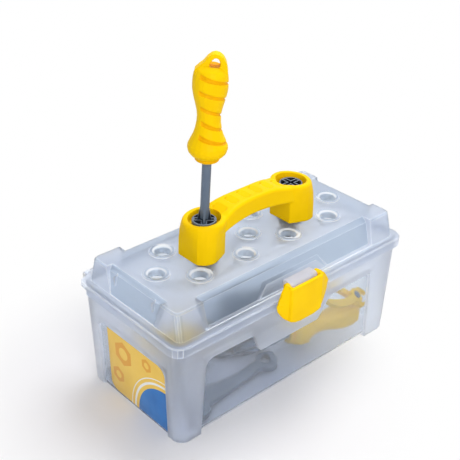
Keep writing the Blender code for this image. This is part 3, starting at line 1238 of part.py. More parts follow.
def pliers_outline(side):
    """One flat arm: a bowed jaw to -X and a bowed handle on the other side to +X."""
    spine = []
    for k in range(PLIERS_STATIONS):
        share = k / PLIERS_STATIONS
        bow = -side * PLIERS_JAW_BOW * math.sin(math.pi * share)
        half = PLIERS_JAW_HALF_WIDTH * (PLIERS_TIP_SHARE + (1.0 - PLIERS_TIP_SHARE) * min(1.0, share * 2.0))
        spine.append((PLIERS_JAW * (share - 1.0), bow, half))
    for k in range(PLIERS_STATIONS + 1):
        share = k / PLIERS_STATIONS
        bow = side * PLIERS_BOW * math.sin(math.pi * share)
        half = PLIERS_HALF_WIDTH * math.sqrt(1.0 - PLIERS_END_SHARE * share ** 8)
        spine.append((PLIERS_HANDLE * share, bow, half))
    lower = [(x, y - half) for x, y, half in spine]
    upper = [(x, y + half) for x, y, half in spine]
    return lower + upper[::-1]


def pliers_arm(name, side, place, look):
    """Arm with a pivot boss, one layer of the lap joint."""
    turn = place @ Matrix.Rotation(side * PLIERS_OPEN, 4, "Z")
    low = FIT_GAP / 2.0 if side > 0.0 else -FIT_GAP / 2.0 - PLIERS_THICK
    high = low + PLIERS_THICK
    pivot = tuple(place.translation)
    arm = make(name, [moved(plate(pliers_outline(side), low, high), turn)], look, origin=pivot)
    skin = FIT_GAP / 10.0
    boss = turned([(PLIERS_BOSS_RADIUS, low + skin), (PLIERS_BOSS_RADIUS, high - skin)], BOLT_STEPS)
    join(arm, name + "_boss", [moved(boss, turn)])
    bore = PLIERS_PIN_RADIUS + FIT_GAP
    hole = turned([(bore, low - OVERRUN), (bore, high + OVERRUN)], SHAFT_STEPS)
    cut(arm, name + "_bore", [moved(hole, turn)])
    return arm


def pliers():
    place = (Matrix.Translation(PLIERS_PIVOT) @ Matrix.Rotation(PLIERS_HEADING, 4, "Z")
             @ Matrix.Rotation(-PLIERS_RISE, 4, "Y") @ Matrix.Rotation(PLIERS_ROLL, 4, "X"))
    pliers_arm("pliers_arm_upper", 1.0, place, finish("pliers_upper", YELLOW, 0.40))
    pliers_arm("pliers_arm_lower", -1.0, place, finish("pliers_lower", YELLOW, 0.40))
    reach = PLIERS_THICK + FIT_GAP * 1.5
    end = reach + PLIERS_PIN_HEAD_THICK
    profile = [(PLIERS_PIN_HEAD, -end), (PLIERS_PIN_HEAD, -reach), (PLIERS_PIN_RADIUS, -reach),
               (PLIERS_PIN_RADIUS, reach), (PLIERS_PIN_HEAD, reach), (PLIERS_PIN_HEAD, end)]
    look = finish("pliers_pin", SLATE, 0.40)
    make("pliers_pin", [moved(turned(profile, SHAFT_STEPS), place)], look, origin=PLIERS_PIVOT)


def build():
    clear_scene()
    box_body()
    end_label()
    hinge_pin("hinge_pin_left", -1.0)
    hinge_pin("hinge_pin_right", 1.0)
    lid_shell()
    latch_clip()
    handle()
    left, right = bolt_places()
    handle_bolt("bolt_left", *left, SCREWDRIVER_HEADING)
    handle_bolt("bolt_right", *right, 0.0)
    lid_nut("nut_left", *left)
    lid_nut("nut_right", *right)
    standing_screwdriver()
    spare_screwdriver()
    hammer()
    spanner()
    loose_hardware()
    pliers()


build()
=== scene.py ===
import json
import math

import bmesh
import bpy
from mathutils import Matrix, Vector
from mathutils.bvhtree import BVHTree


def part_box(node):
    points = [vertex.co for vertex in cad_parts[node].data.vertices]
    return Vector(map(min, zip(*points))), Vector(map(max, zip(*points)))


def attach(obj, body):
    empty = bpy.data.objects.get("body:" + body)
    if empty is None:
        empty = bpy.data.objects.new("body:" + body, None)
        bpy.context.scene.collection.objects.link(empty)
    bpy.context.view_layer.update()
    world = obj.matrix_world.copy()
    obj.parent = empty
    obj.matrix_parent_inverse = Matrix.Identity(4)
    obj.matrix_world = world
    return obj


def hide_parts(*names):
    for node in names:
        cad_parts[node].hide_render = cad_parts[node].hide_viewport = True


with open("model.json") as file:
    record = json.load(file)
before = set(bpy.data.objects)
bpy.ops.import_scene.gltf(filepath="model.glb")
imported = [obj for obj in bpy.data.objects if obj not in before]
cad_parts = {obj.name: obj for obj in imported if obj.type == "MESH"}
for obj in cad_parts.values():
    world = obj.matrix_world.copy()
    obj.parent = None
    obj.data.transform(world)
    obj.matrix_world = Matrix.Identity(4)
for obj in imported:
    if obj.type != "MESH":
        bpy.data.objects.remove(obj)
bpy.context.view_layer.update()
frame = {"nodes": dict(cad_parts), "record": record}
nodes = frame["nodes"]
bodyOf = {}
for bodyName, carried in frame["record"]["behaviour"]["bodies"].items():
    for nodeName in carried:
        bodyOf[nodeName] = bodyName
print("frame loaded,", len(nodes), "solids")

# Camera, with the photograph's own square frame

camera = {
    "place": (-0.53184, -0.55332, 0.59195),
    "yaw": 42.559,  # degrees from straight ahead (+Y) towards +X
    "pitch": 30.315,  # degrees down
    "roll": 1.053,
    "lens": 72.19,
    "sensor": 36.0,
    "clip": (0.02, 30.0),
}


def cameraAxes(yaw, pitch, roll):
    ahead = Vector((math.sin(yaw) * math.cos(pitch), math.cos(yaw) * math.cos(pitch), -math.sin(pitch)))
    side = Vector((math.cos(yaw), -math.sin(yaw), 0.0))
    above = side.cross(ahead)
    return (
        math.cos(roll) * side + math.sin(roll) * above,
        -math.sin(roll) * side + math.cos(roll) * above,
        ahead,
    )


def makeCamera():
    data = bpy.data.cameras.new("photoCamera")
    data.sensor_fit = "HORIZONTAL"
    data.sensor_width = camera["sensor"]
    data.lens = camera["lens"]
    data.clip_start, data.clip_end = camera["clip"]
    right, up, ahead = cameraAxes(*(math.radians(camera[key]) for key in ("yaw", "pitch", "roll")))
    turn = Matrix((right, up, -ahead)).transposed()
    rig = bpy.data.objects.new("photoCamera", data)
    rig.matrix_world = Matrix.Translation(camera["place"]) @ turn.to_4x4()
    bpy.context.scene.collection.objects.link(rig)
    bpy.context.scene.camera = rig
    bpy.context.scene.view_settings.view_transform = "Standard"


# Studio: white surroundings, one large soft lamp overhead and a weaker one beside it

studio = {
    "worldStrength": 0.62,
    "worldColour": (0.93, 0.96, 1.0),
    "seenStrength": 1.0,  # of the pure white that the camera sees all round
    "key": {"place": (0.45, 0.20, 1.20), "aim": (0.0, 0.0, 0.1), "size": 0.8, "power": 9.0},
    "fill": {"place": (-0.55, -0.95, 0.75), "aim": (0.0, 0.0, 0.1), "size": 0.9, "power": 7.0},
    "floorSize": 6.0,
    "floorShade": (0.775, 0.755, 0.760),
    "paperMiddle": (-0.09, 0.0, 0.0),  # middle of the grey paper, away from the key lamp, where the broad shade is partly painted
    "paperStart": 0.10,  # distance from it where the paper begins to fade to pure white
    "paperEnd": 0.25,
    "floorDrop": 0.0002,
}


def wire(tree, source, target):
    tree.links.new(source, target)


def calc(tree, operation, first, second=0.0):
    # one sum; each term is a socket or a number
    made = tree.nodes.new("ShaderNodeMath")
    made.operation = operation
    for socket, term in zip(made.inputs, (first, second)):
        if isinstance(term, (int, float)):
            socket.default_value = term
        else:
            wire(tree, term, socket)
    return made.outputs[0]


def seenDirectly(tree):
    # one where a camera, mirror or see-through ray looks
    path = tree.nodes.new("ShaderNodeLightPath")
    first = calc(tree, "MAXIMUM", path.outputs["Is Camera Ray"], path.outputs["Is Glossy Ray"])
    return calc(tree, "MAXIMUM", first, path.outputs["Is Transmission Ray"])


def chosen(tree, share, first, second):
    # the first shader where share is zero, the second where it is one
    choose = tree.nodes.new("ShaderNodeMixShader")
    for socket, source in zip(choose.inputs, (share, first, second)):
        wire(tree, source, socket)
    return choose.outputs["Shader"]


def backdrop(tree, colour, strength):
    made = tree.nodes.new("ShaderNodeBackground")
    made.inputs["Color"].default_value = (*colour, 1.0)
    made.inputs["Strength"].default_value = strength
    return made.outputs["Background"]


def makeWorld():
    world = bpy.data.worlds.new("whiteStudio")
    bpy.context.scene.world = world
    world.use_nodes = True
    tree = world.node_tree
    tree.nodes.clear()
    light = backdrop(tree, studio["worldColour"], studio["worldStrength"])
    white = backdrop(tree, (1.0, 1.0, 1.0), studio["seenStrength"])
    out = tree.nodes.new("ShaderNodeOutputWorld")
    wire(tree, chosen(tree, seenDirectly(tree), light, white), out.inputs["Surface"])


def makeLamp(name, facts):
    data = bpy.data.lights.new(name, "AREA")
    data.shape = "DISK"
    data.size = facts["size"]
    data.energy = facts["power"]
    lamp = bpy.data.objects.new(name, data)
    lamp.location = facts["place"]
    look = Vector(facts["aim"]) - Vector(facts["place"])
    lamp.rotation_euler = look.to_track_quat("-Z", "Y").to_euler()
    bpy.context.scene.collection.objects.link(lamp)


def paperLook():
    # pale grey paper that keeps the rendered shadow near a point left of the object and glows pure white
    # further out, so the shade there is partly painted
    made = bpy.data.materials.new("paper")
    made.use_nodes = True
    tree = made.node_tree
    tree.nodes.clear()
    lit = tree.nodes.new("ShaderNodeBsdfDiffuse")
    lit.inputs["Color"].default_value = (*studio["floorShade"], 1.0)
    white = tree.nodes.new("ShaderNodeEmission")
    white.inputs["Strength"].default_value = studio["seenStrength"]
    place = tree.nodes.new("ShaderNodeNewGeometry")
    length = tree.nodes.new("ShaderNodeVectorMath")
    length.operation = "DISTANCE"
    length.inputs[1].default_value = studio["paperMiddle"]
    wire(tree, place.outputs["Position"], length.inputs[0])
    fade = tree.nodes.new("ShaderNodeMapRange")
    fade.interpolation_type = "SMOOTHSTEP"
    fade.inputs["From Min"].default_value = studio["paperStart"]
    fade.inputs["From Max"].default_value = studio["paperEnd"]
    wire(tree, length.outputs["Value"], fade.inputs["Value"])
    share = calc(tree, "MULTIPLY", fade.outputs["Result"], seenDirectly(tree))
    out = tree.nodes.new("ShaderNodeOutputMaterial")
    wire(tree, chosen(tree, share, lit.outputs["BSDF"], white.outputs["Emission"]), out.inputs["Surface"])
    return made


def makeFloor():
    half = studio["floorSize"] / 2
    mesh = bpy.data.meshes.new("floor")
    corners = [(-half, -half, 0.0), (half, -half, 0.0), (half, half, 0.0), (-half, half, 0.0)]
    mesh.from_pydata(corners, [], [(0, 1, 2, 3)])
    floor = bpy.data.objects.new("floor", mesh)
    floor.location.z = -studio["floorDrop"]
    bpy.context.scene.collection.objects.link(floor)
    floor.data.materials.append(paperLook())


makeCamera()
makeWorld()
makeLamp("keyLamp", studio["key"])
makeLamp("fillLamp", studio["fill"])
makeFloor()
print("camera and studio ready")

# Finishes: a tint and a roughness that drift a little from place to place
# The tint's noise has the scale called clouds, the roughness's noise the scale called mottle

noiseSpan = (0.3, 0.7)  # the part of the noise's range that carries all of the drift
grain = {"depth": 0.00006, "strength": 0.30, "detail": 3.0}


def noiseAt(tree, scale, detail=2.0):
    # cloudy pattern in the object's own metres
    place = tree.nodes.new("ShaderNodeTexCoord")
    noise = tree.nodes.new("ShaderNodeTexNoise")
    noise.inputs["Scale"].default_value = scale
    noise.inputs["Detail"].default_value = detail
    wire(tree, place.outputs["Object"], noise.inputs["Vector"])
    return noise.outputs["Fac"]


def clouded(tree, scale, dark, light):
    # a colour between a dark and a light tint
    ramp = tree.nodes.new("ShaderNodeValToRGB")
    for index, tint in enumerate((dark, light)):
        ramp.color_ramp.elements[index].position = noiseSpan[index]
        ramp.color_ramp.elements[index].color = (*tint, 1.0)
    wire(tree, noiseAt(tree, scale), ramp.inputs["Fac"])
    return ramp.outputs["Color"]


def mottled(tree, scale, low, high):
    # a number between low and high
    change = tree.nodes.new("ShaderNodeMapRange")
    change.inputs["From Min"].default_value = noiseSpan[0]
    change.inputs["From Max"].default_value = noiseSpan[1]
    change.inputs["To Min"].default_value = low
    change.inputs["To Max"].default_value = high
    wire(tree, noiseAt(tree, scale), change.inputs["Value"])
    return change.outputs["Result"]


def grained(tree, shader, scale):
    # fine moulded grain
    bump = tree.nodes.new("ShaderNodeBump")
    bump.inputs["Distance"].default_value = grain["depth"]
    bump.inputs["Strength"].default_value = grain["strength"]
    wire(tree, noiseAt(tree, scale, grain["detail"]), bump.inputs["Height"])
    wire(tree, bump.outputs["Normal"], shader.inputs["Normal"])


def bareShader(name, mottle, roughness):
    # a new material, still without its colour
    made = bpy.data.materials.new(name)
    made.use_nodes = True
    tree = made.node_tree
    shader = tree.nodes["Principled BSDF"]
    wire(tree, mottled(tree, mottle, *roughness), shader.inputs["Roughness"])
    return made, tree, shader


shellPlastic = {
    "ior": 1.22,
    "mottle": 90.0,
    "kinds": {
        # dark tint, light tint, clouds, roughness from and to, transmission, and a painted glow
        "lidFrosted": ((0.79, 0.84, 0.93), (0.83, 0.875, 0.955), 22.0, (0.34, 0.42), 0.90, 0.0),
        "bodyFrosted": ((0.86, 0.90, 0.99), (0.91, 0.945, 1.0), 22.0, (0.34, 0.42), 0.83, 0.0),
        # the polished windows and sunk panels, which show what lies behind
        "windowClear": ((0.80, 0.85, 0.92), (0.84, 0.88, 0.94), 22.0, (0.09, 0.12), 0.92, 0.0),
        "bayClear": ((0.62, 0.705, 0.815), (0.66, 0.745, 0.845), 22.0, (0.29, 0.34), 0.92, 0.0),
        "cornerClear": ((0.67, 0.74, 0.84), (0.70, 0.77, 0.87), 22.0, (0.36, 0.42), 0.92, 0.0),
        # folded edges gather light and read whiter
        # painted highlight: folded edges get a whiter tint and a glow of their own
        "glowingEdgeHighlight": ((0.9409, 0.9506, 0.97), (0.97, 0.98, 1.0), 60.0, (0.30, 0.38), 0.0, 0.72),
        # thicker plastic is milkier, as round each tool hole and in the lug that carries the latch; the lug
        # also has a faint painted glow
        "bossFrosted": ((0.893, 0.912, 0.9405), (0.94, 0.96, 0.99), 60.0, (0.50, 0.58), 0.35, 0.0),
        "glowingLugFrosted": ((0.798, 0.798, 0.874), (0.84, 0.84, 0.92), 60.0, (0.50, 0.58), 0.60, 0.05),
    },
}


def shellLook(name):
    dark, light, clouds, roughness, transmission, glow = shellPlastic["kinds"][name]
    made, tree, shader = bareShader(name, shellPlastic["mottle"], roughness)
    wire(tree, clouded(tree, clouds, dark, light), shader.inputs["Base Color"])
    shader.inputs["Transmission Weight"].default_value = transmission
    shader.inputs["IOR"].default_value = shellPlastic["ior"]
    # painted glow, for the looks that have one
    if glow:
        shader.inputs["Emission Color"].default_value = (*light, 1.0)
        shader.inputs["Emission Strength"].default_value = glow
    return made


yellow = {
    "tints": {
        "plainYellow": ((0.92, 0.565, 0.001), (0.97, 0.62, 0.001)),
        "deepYellow": ((0.86, 0.42, 0.001), (0.90, 0.46, 0.001)),  # painted shade on the floors of the grips' grooves
        # painted shadow along the left and front walls of the bar's finger slots
        "slotYellow": ((0.87, 0.47, 0.001), (0.91, 0.51, 0.001)),
    },
    "clouds": 35.0,
    "roughness": (0.36, 0.48),
    "mottle": 160.0,
    "grain": 2200.0,
    "specular": 0.05,
}
slate = {
    "tints": {
        "plainSlate": ((0.085, 0.118, 0.172), (0.112, 0.152, 0.212)),
        "socketShadeSlate": ((0.006, 0.009, 0.016), (0.012, 0.016, 0.026)),  # painted shade on the floors of the sockets
        "edgeSlate": ((0.26, 0.31, 0.37), (0.34, 0.39, 0.45)),  # paler on the bolts' rounded edges
    },
    "clouds": 45.0,
    "roughness": (0.32, 0.44),
    "mottle": 160.0,
    "grain": 2000.0,
}
steel = {
    "tints": {"brightSteel": ((0.50, 0.51, 0.53), (0.62, 0.63, 0.65))},
    "clouds": 300.0,
    "roughness": (0.29, 0.38),
    "mottle": 500.0,
    "metallic": 1.0,
}


def solidLook(name, facts):
    # plastic or metal that lets no light through
    made, tree, shader = bareShader(name, facts["mottle"], facts["roughness"])
    wire(tree, clouded(tree, facts["clouds"], *facts["tints"][name]), shader.inputs["Base Color"])
    if "grain" in facts:
        grained(tree, shader, facts["grain"])
    if "specular" in facts:
        shader.inputs["Specular IOR Level"].default_value = facts["specular"]
    if "metallic" in facts:
        shader.inputs["Metallic"].default_value = facts["metallic"]
    return made


# Label print: a yellow sheet with hexagon nuts and a blue quarter disc in its lower front corner, in metres

label = {
    "sheet": ((0.84, 0.53, 0.075), (0.90, 0.60, 0.10)),  # dark and light tint
    "blue": ((0.012, 0.150, 0.470), (0.017, 0.205, 0.575)),
    "nut": (0.78, 0.36, 0.03),
    "white": (0.86, 0.86, 0.84),
    "clouds": 40.0,
    "roughness": (0.30, 0.40),
    "mottle": 200.0,
    "disc": (-0.050, 0.002),  # y and z of the disc's middle
    "discRadius": 0.046,
    "rings": ((0.0500, 0.0525), (0.0560, 0.0570)),
    "nuts": (
        # y and z of the middle, half the width across its flats, and the hole's radius
        (0.016, 0.056, 0.0120, 0.0066),
        (0.026, 0.026, 0.0080, 0.0042),
        (-0.020, 0.064, 0.0065, 0.0034),
    ),
    "bevel": 0.0001,
}


def fromMiddle(tree, middleY, middleZ):
    # how far a point of the label's face lies from a middle, in y and in z
    place = tree.nodes.new("ShaderNodeTexCoord")
    parts = tree.nodes.new("ShaderNodeSeparateXYZ")
    wire(tree, place.outputs["Object"], parts.inputs[0])
    across = calc(tree, "SUBTRACT", parts.outputs["Y"], middleY)
    up = calc(tree, "SUBTRACT", parts.outputs["Z"], middleZ)
    return across, up


def discDistance(tree, across, up):
    squares = calc(tree, "ADD", calc(tree, "MULTIPLY", across, across), calc(tree, "MULTIPLY", up, up))
    return calc(tree, "SQRT", squares)


def hexDistance(tree, across, up):
    # distance to a hexagon's middle, measured square to its nearest side
    widest = calc(tree, "ABSOLUTE", across)
    for turn in (math.radians(60), math.radians(120)):
        along = calc(tree, "MULTIPLY", across, math.cos(turn))
        lean = calc(tree, "ADD", along, calc(tree, "MULTIPLY", up, math.sin(turn)))
        widest = calc(tree, "MAXIMUM", widest, calc(tree, "ABSOLUTE", lean))
    return widest


def between(tree, inner, outer, innerEdge, outerEdge):
    # one where inner is past innerEdge and outer short of outerEdge
    past = calc(tree, "GREATER_THAN", inner, innerEdge)
    return calc(tree, "MULTIPLY", past, calc(tree, "LESS_THAN", outer, outerEdge))


def painted(tree, mask, under, over):
    # colour over laid on colour under where the mask is one
    mix = tree.nodes.new("ShaderNodeMix")
    mix.data_type = "RGBA"
    wire(tree, mask, mix.inputs["Factor"])
    wire(tree, under, mix.inputs[6])
    if isinstance(over, tuple):
        mix.inputs[7].default_value = (*over, 1.0)
    else:
        wire(tree, over, mix.inputs[7])
    return mix.outputs[2]


def labelLook():
    made, tree, shader = bareShader("printedLabel", label["mottle"], label["roughness"])
    colour = clouded(tree, label["clouds"], *label["sheet"])
    for y, z, half, hole in label["nuts"]:
        offset = fromMiddle(tree, y, z)
        mask = between(tree, discDistance(tree, *offset), hexDistance(tree, *offset), hole, half)
        colour = painted(tree, mask, colour, label["nut"])
    distance = discDistance(tree, *fromMiddle(tree, *label["disc"]))
    inDisc = calc(tree, "LESS_THAN", distance, label["discRadius"])
    colour = painted(tree, inDisc, colour, clouded(tree, label["clouds"], *label["blue"]))
    for inner, outer in label["rings"]:
        colour = painted(tree, between(tree, distance, distance, inner, outer), colour, label["white"])
    wire(tree, colour, shader.inputs["Base Color"])
    return made


looks = {name: shellLook(name) for name in shellPlastic["kinds"]}
looks["printedLabel"] = labelLook()
for family in (yellow, slate, steel):
    for name in family["tints"]:
        looks[name] = solidLook(name, family)
print("finishes ready")

# Pieces made from the solids: welded, freed of spare edges, then rounded

cleaning = {"weld": 0.00001, "flat": 0.8}  # metres between doubled points, degrees that still count as flat
sinking = {
    "fold": 26.0,  # degrees between faces that bound a patch
    "share": 0.45,  # how much of a sunk patch's border folds inwards, at least
}
rounding = {"segments": 2, "sharp": 28.0, "shade": 38.0}
melting = {"factor": 0.5, "shade": 70.0}


def cleanCopy(node):
    mesh = nodes[node].data.copy()
    shaper = bmesh.new()
    shaper.from_mesh(mesh)
    bmesh.ops.remove_doubles(shaper, verts=shaper.verts, dist=cleaning["weld"])
    flat = math.radians(cleaning["flat"])
    bmesh.ops.dissolve_limit(
        shaper, angle_limit=flat, verts=shaper.verts, edges=shaper.edges, use_dissolve_boundaries=False
    )
    shaper.to_mesh(mesh)
    shaper.free()
    mesh.materials.clear()
    for layer in list(mesh.uv_layers):
        mesh.uv_layers.remove(layer)
    return mesh


def settled(thing):
    # the mesh with its modifiers applied
    depsgraph = bpy.context.evaluated_depsgraph_get()
    mesh = bpy.data.meshes.new_from_object(thing.evaluated_get(depsgraph))
    thing.modifiers.clear()
    thing.data = mesh
    return mesh


def placed(node):
    thing = bpy.data.objects.new(node + "Finish", cleanCopy(node))
    bpy.context.scene.collection.objects.link(thing)
    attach(thing, bodyOf[node])
    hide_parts(node)
    return thing


def smoothShaded(mesh, angle):
    if "custom_normal" in mesh.attributes:
        mesh.attributes.remove(mesh.attributes["custom_normal"])
    mesh.shade_smooth()
    mesh.set_sharp_from_angle(angle=math.radians(angle))


def patchFrom(start, seen):
    # the faces reached from one without crossing a fold, and the share of their border that folds inwards
    patch, queue, folded, around = [], [start], 0.0, 0.0
    seen.add(start.index)
    while queue:
        face = queue.pop()
        patch.append(face.index)
        for edge in face.edges:
            if len(edge.link_faces) != 2:
                continue
            turn = edge.calc_face_angle_signed(0.0)
            if abs(turn) > math.radians(sinking["fold"]):
                around += edge.calc_length()
                folded += edge.calc_length() if turn < 0.0 else 0.0
                continue
            for other in edge.link_faces:
                if other.index not in seen:
                    seen.add(other.index)
                    queue.append(other)
    return patch, folded / around if around else 0.0


def sunkFaces(mesh):
    # patches of faces most of whose border folds inwards, such as the floors of grooves and sockets
    shaper = bmesh.new()
    shaper.from_mesh(mesh)
    seen = set()
    sunk = set()
    for start in shaper.faces:
        if start.index not in seen:
            patch, share = patchFrom(start, seen)
            if share > sinking["share"]:
                sunk.update(patch)
    shaper.free()
    return sunk


def bevelled(node, looksUsed, width, sharp=rounding["sharp"], deep=None):
    # a node's shape with its sharp edges rounded; a second look, if given, covers the rounded edges
    thing = placed(node)
    for look in looksUsed:
        thing.data.materials.append(looks[look])
    for face in thing.data.polygons:
        face.material_index = 0
    # a further look, if given, is painted shade on the sunk faces
    if deep:
        thing.data.materials.append(looks[deep])
        for index in sunkFaces(thing.data):
            thing.data.polygons[index].material_index = len(looksUsed)
    bevel = thing.modifiers.new("rounding", "BEVEL")
    bevel.width = width
    bevel.segments = rounding["segments"]
    bevel.limit_method = "ANGLE"
    bevel.angle_limit = math.radians(sharp)
    bevel.use_clamp_overlap = True
    bevel.material = len(looksUsed) - 1
    smoothShaded(settled(thing), rounding["shade"])
    return thing


def overSunk(mesh):
    # a test of whether a melted face lies nearest to one of the solid's sunk faces
    shaper = bmesh.new()
    shaper.from_mesh(mesh)
    finder = BVHTree.FromBMesh(shaper)
    shaper.free()
    sunk = sunkFaces(mesh)
    return lambda face: finder.find_nearest(face.center)[2] in sunk


def addHulls(mesh, hulls):
    # adds the smallest convex solid round each group of corners
    shaper = bmesh.new()
    shaper.from_mesh(mesh)
    for corners in hulls:
        solid = bmesh.new()
        for corner in corners:
            solid.verts.new(corner)
        bmesh.ops.convex_hull(solid, input=solid.verts)
        extra = bpy.data.meshes.new("extra")
        solid.to_mesh(extra)
        solid.free()
        shaper.from_mesh(extra)
        bpy.data.meshes.remove(extra)
    shaper.to_mesh(mesh)
    shaper.free()


def softened(node, voxel, passes, deep=None, isDeep=None, carve=None, hulls=()):
    # a yellow node's shape with all its edges melted together, as a moulded piece has them
    thing = placed(node)
    if deep and not isDeep:
        isDeep = overSunk(thing.data)
    if hulls:
        addHulls(thing.data, hulls)
    fine = thing.modifiers.new("fine", "REMESH")
    fine.mode = "VOXEL"
    fine.voxel_size = voxel
    mesh = settled(thing)
    if carve:
        carve(mesh)
    melt = thing.modifiers.new("melt", "SMOOTH")
    melt.factor = melting["factor"]
    melt.iterations = passes
    mesh = settled(thing)
    mesh.materials.clear()
    mesh.materials.append(looks["plainYellow"])
    # a second look, if given, is painted shade on the faces that isDeep picks, by default those over the
    # solid's sunk faces
    if deep:
        mesh.materials.append(looks[deep])
    for face in mesh.polygons:
        face.material_index = 1 if deep and isDeep(face) else 0
    smoothShaded(mesh, melting["shade"])


shells = {
    "width": 0.0008,
    "bodyFrosted": 26.0,  # least fold that shows as an edge, in degrees
    "lidFrosted": 17.0,
}
toolHoles = {
    "places": [(x, y) for x in (-0.084, -0.028, 0.028, 0.084) for y in (-0.027, 0.027)]
    + [(-0.112, 0.0), (0.0, 0.0), (0.112, 0.0)],
    "reach": 0.0115,  # boss's outer radius
    "bore": 0.0083,
    "low": 0.130,  # everything of a hole lies above this height
}
panels = (
    # |x|, |y| and z of the faces' middles from and to, the normal's axis and its least share, and the look
    ((0.0, 0.0620, 0.004), (0.1195, 0.0672, 0.088), 1, 0.97, "windowClear"),
    ((0.1370, 0.0, 0.002), (0.1420, 0.053, 0.082), 0, 0.97, "windowClear"),
    ((0.0, 0.0500, 0.1125), (0.1120, 0.0612, 0.1405), 1, 0.60, "bayClear"),
    ((0.1310, 0.0, 0.1125), (0.1375, 0.0420, 0.1405), 0, 0.70, "bayClear"),
)
lidCorner = {
    "from": (0.1130, 0.0430, 0.1155),
    "to": (0.1420, 0.0680, 0.1400),
    "level": 0.80,  # faces that look up or down more than this stay frosted
}
latchLug = {"from": (-0.0175, -0.0775, 0.1150), "to": (0.0175, -0.0655, 0.1275)}


def toolHoleLook(centre):
    if centre.z < toolHoles["low"]:
        return None
    nearest = min(math.hypot(centre.x - x, centre.y - y) for x, y in toolHoles["places"])
    if nearest < toolHoles["bore"]:
        return "bayClear"
    return "bossFrosted" if nearest < toolHoles["reach"] else None


def within(point, low, high):
    return all(least <= value <= most for value, least, most in zip(point, low, high))


def panelLook(face):
    # the look of the panel that a face lies on, if any
    middle = (abs(face.center.x), abs(face.center.y), face.center.z)
    for low, high, axis, share, look in panels:
        if within(middle, low, high) and abs(face.normal[axis]) > share:
            return look
    inCorner = within(middle, lidCorner["from"], lidCorner["to"])
    return "cornerClear" if inCorner and abs(face.normal.z) < lidCorner["level"] else None


def shellFinish(node, part):
    # milky plastic, edges with a painted glowing highlight, clear panels and milky bosses, and a faint
    # painted glow on the latch's lug
    thing = bevelled(node, (part, "glowingEdgeHighlight"), shells["width"], shells[part])
    spare = ("bossFrosted", "windowClear", "bayClear", "glowingLugFrosted", "cornerClear")
    first = len(thing.data.materials)
    for look in spare:
        thing.data.materials.append(looks[look])
    for face in thing.data.polygons:
        look = toolHoleLook(face.center)
        if part == "lidFrosted" and within(face.center, latchLug["from"], latchLug["to"]):
            look = "glowingLugFrosted"
        if not look and face.material_index == 0:
            look = panelLook(face)
        if look:
            face.material_index = first + spare.index(look)


shellFinish("box_body", "bodyFrosted")
shellFinish("lid_shell", "lidFrosted")
bevelled("end_label", ("printedLabel",), label["bevel"])
print("shells and label ready")

barSlots = {
    "count": 6,
    "pitch": 0.0148,
    "half": (0.0043, 0.0080),
    "round": 0.0036,
    "wall": 0.0008,
    "depth": (0.0027, 0.0001),  # at the left and right of each slot
    "foot": (0.0001, 0.0013),  # from and to of the painted shadow strip along each slot's left and front walls
    "footShare": 0.6,  # how far right the front wall's shadow strip runs
    "footLow": 0.176,
    "margin": 0.0004,  # what is levelled beyond the slots' ends
    "skin": 0.0030,  # only points this near the bar's top are moved
    "well": (0.056, 0.0161),  # each bolt well's place along the bar, and its edge
    "rise": 0.0078,  # how far the bar's middle stands over its ends
    "run": 0.0445,
    "arch": 3.4,
}
rightRim = {
    "lift": 0.0024,  # how much higher the right post's rim stands
    "start": 0.034,
    "run": 0.012,
    "below": 0.026,  # depth under the crown where it begins, and the height over which it grows
    "grow": 0.018,
}


def clamped(value):
    return min(max(value, 0.0), 1.0)


def eased(share):
    return share * share * (3.0 - 2.0 * share)


def slotAcross(x):
    # distance from the middle of the nearest finger slot
    last = barSlots["count"] - 1
    nearest = min(max(round(x / barSlots["pitch"] + last / 2), 0), last)
    return x - (nearest - last / 2) * barSlots["pitch"]


def slotInside(x, y):
    # how far a point of the bar's top lies inside the outline of its slot
    halfAcross, halfAlong = barSlots["half"]
    rim = barSlots["round"]
    dx = abs(slotAcross(x)) - (halfAcross - rim)
    dy = abs(y) - (halfAlong - rim)
    return rim - math.hypot(max(dx, 0.0), max(dy, 0.0)) - min(max(dx, dy), 0.0)


def slotDepth(x, y):
    left, right = barSlots["depth"]
    slope = left + (right - left) * (slotAcross(x) / barSlots["half"][0] + 1.0) / 2.0
    return slope * eased(clamped(slotInside(x, y) / barSlots["wall"]))


def inSlotShadow(face):
    # painted shadow on the deepest strip of each slot and the wall above it
    x, y, z = face.center
    if z < barSlots["footLow"] or abs(x) > barSlots["run"]:
        return False
    begin, end = barSlots["foot"]
    front = y < 0.0 and slotAcross(x) < barSlots["half"][0] * barSlots["footShare"]
    return begin < slotInside(x, y) < end and (front or slotAcross(x) < 0.0)


def sinkSlots(mesh):
    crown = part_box("handle")[1][2]
    reach = barSlots["pitch"] * barSlots["count"] / 2
    width = barSlots["half"][1] + barSlots["margin"]
    place, edge = barSlots["well"]
    for point in mesh.vertices:
        x, y, z = point.co
        inWell = math.hypot(abs(x) - place, y) < edge
        if abs(x) < reach and abs(y) < width and not inWell:
            top = crown - barSlots["rise"] * (abs(x) / barSlots["run"]) ** barSlots["arch"]
            if z > top - barSlots["skin"]:
                point.co.z = top - slotDepth(x, y)
        along = clamped((x - rightRim["start"]) / rightRim["run"])
        upward = clamped((z - (crown - rightRim["below"])) / rightRim["grow"])
        point.co.z += rightRim["lift"] * eased(along) * upward


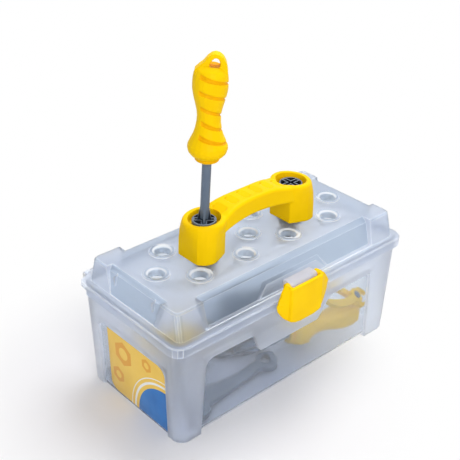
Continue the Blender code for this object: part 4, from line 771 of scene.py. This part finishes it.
latch = {
    "panel": (-0.0222, 0.0186),  # left and right edge of the raised front panel
    "proud": 0.0008,  # how far it stands in front, and how far the wings lie behind
    "back": 0.0012,
    "stepRun": 0.0004,
    "facing": -0.3,  # only points that look forwards by this much are moved
    "behind": -0.0765,  # and none that lies behind this plane
    # each cheek fills the corner between an ear and the wing below it; front and back of each place
    "leftCheek": (
        (-0.0345, -0.0790, 0.1110), (-0.0345, -0.0765, 0.1110),
        (-0.0300, -0.0795, 0.1222), (-0.0300, -0.0762, 0.1222),
        (-0.0238, -0.0788, 0.1286), (-0.0238, -0.0750, 0.1282),
        (-0.0185, -0.0815, 0.1258), (-0.0185, -0.0745, 0.1268),
        (-0.0200, -0.0818, 0.1090), (-0.0200, -0.0795, 0.1090),
    ),
    "rightCheek": (
        (0.0335, -0.0785, 0.1110), (0.0335, -0.0765, 0.1110),
        (0.0268, -0.0792, 0.1212), (0.0268, -0.0762, 0.1212),
        (0.0212, -0.0785, 0.1268), (0.0212, -0.0748, 0.1268),
        (0.0185, -0.0812, 0.1252), (0.0185, -0.0745, 0.1262),
        (0.0200, -0.0818, 0.1090), (0.0200, -0.0795, 0.1090),
    ),
}


def stepWings(mesh):
    # the wings' faces set back behind the front panel
    left, right = latch["panel"]
    for point in mesh.vertices:
        if point.normal.y > latch["facing"] or point.co.y > latch["behind"]:
            continue
        beyond = max(left - point.co.x, point.co.x - right)
        share = clamped(beyond / latch["stepRun"])
        point.co.y += latch["back"] * share - latch["proud"] * (1.0 - share)


moulded = {
    # voxel size in metres, and passes of smoothing
    "handle": (0.0006, 3),
    "latch_clip": (0.0004, 2),
    "grip": (0.0007, 2),
}
# the bar's slots get painted shadow along their left and front walls
softened("handle", *moulded["handle"], "slotYellow", inSlotShadow, sinkSlots)
cheeks = (latch["leftCheek"], latch["rightCheek"])
softened("latch_clip", *moulded["latch_clip"], carve=stepWings, hulls=cheeks)
# painted shade on the floors of the grips' grooves
for node in ("screwdriver_handle", "spare_screwdriver_handle", "hammer_handle"):
    softened(node, *moulded["grip"], "deepYellow")
print("yellow pieces ready")

hardware = {
    "width": 0.0004,
    "pinWidth": 0.0002,
    "slate": ("bolt_", "nut_", "play_", "hammer_shaft", "hammer_head"),  # how the slate pieces' names begin
    "moreSlate": ["screwdriver_shaft", "spare_screwdriver_shaft", "spanner", "pliers_pin"],
}
slateNodes = [name for name in nodes if name.startswith(hardware["slate"])] + hardware["moreSlate"]
# painted shade on the floors of the sockets
for node in slateNodes:
    rim = "edgeSlate" if node.startswith("bolt_") else "plainSlate"
    bevelled(node, ("plainSlate", rim), hardware["width"], deep="socketShadeSlate")
for node in ("pliers_arm_upper", "pliers_arm_lower"):
    bevelled(node, ("plainYellow",), hardware["width"])
for node in ("hinge_pin_left", "hinge_pin_right"):
    bevelled(node, ("brightSteel",), hardware["pinWidth"])
print("hardware ready")
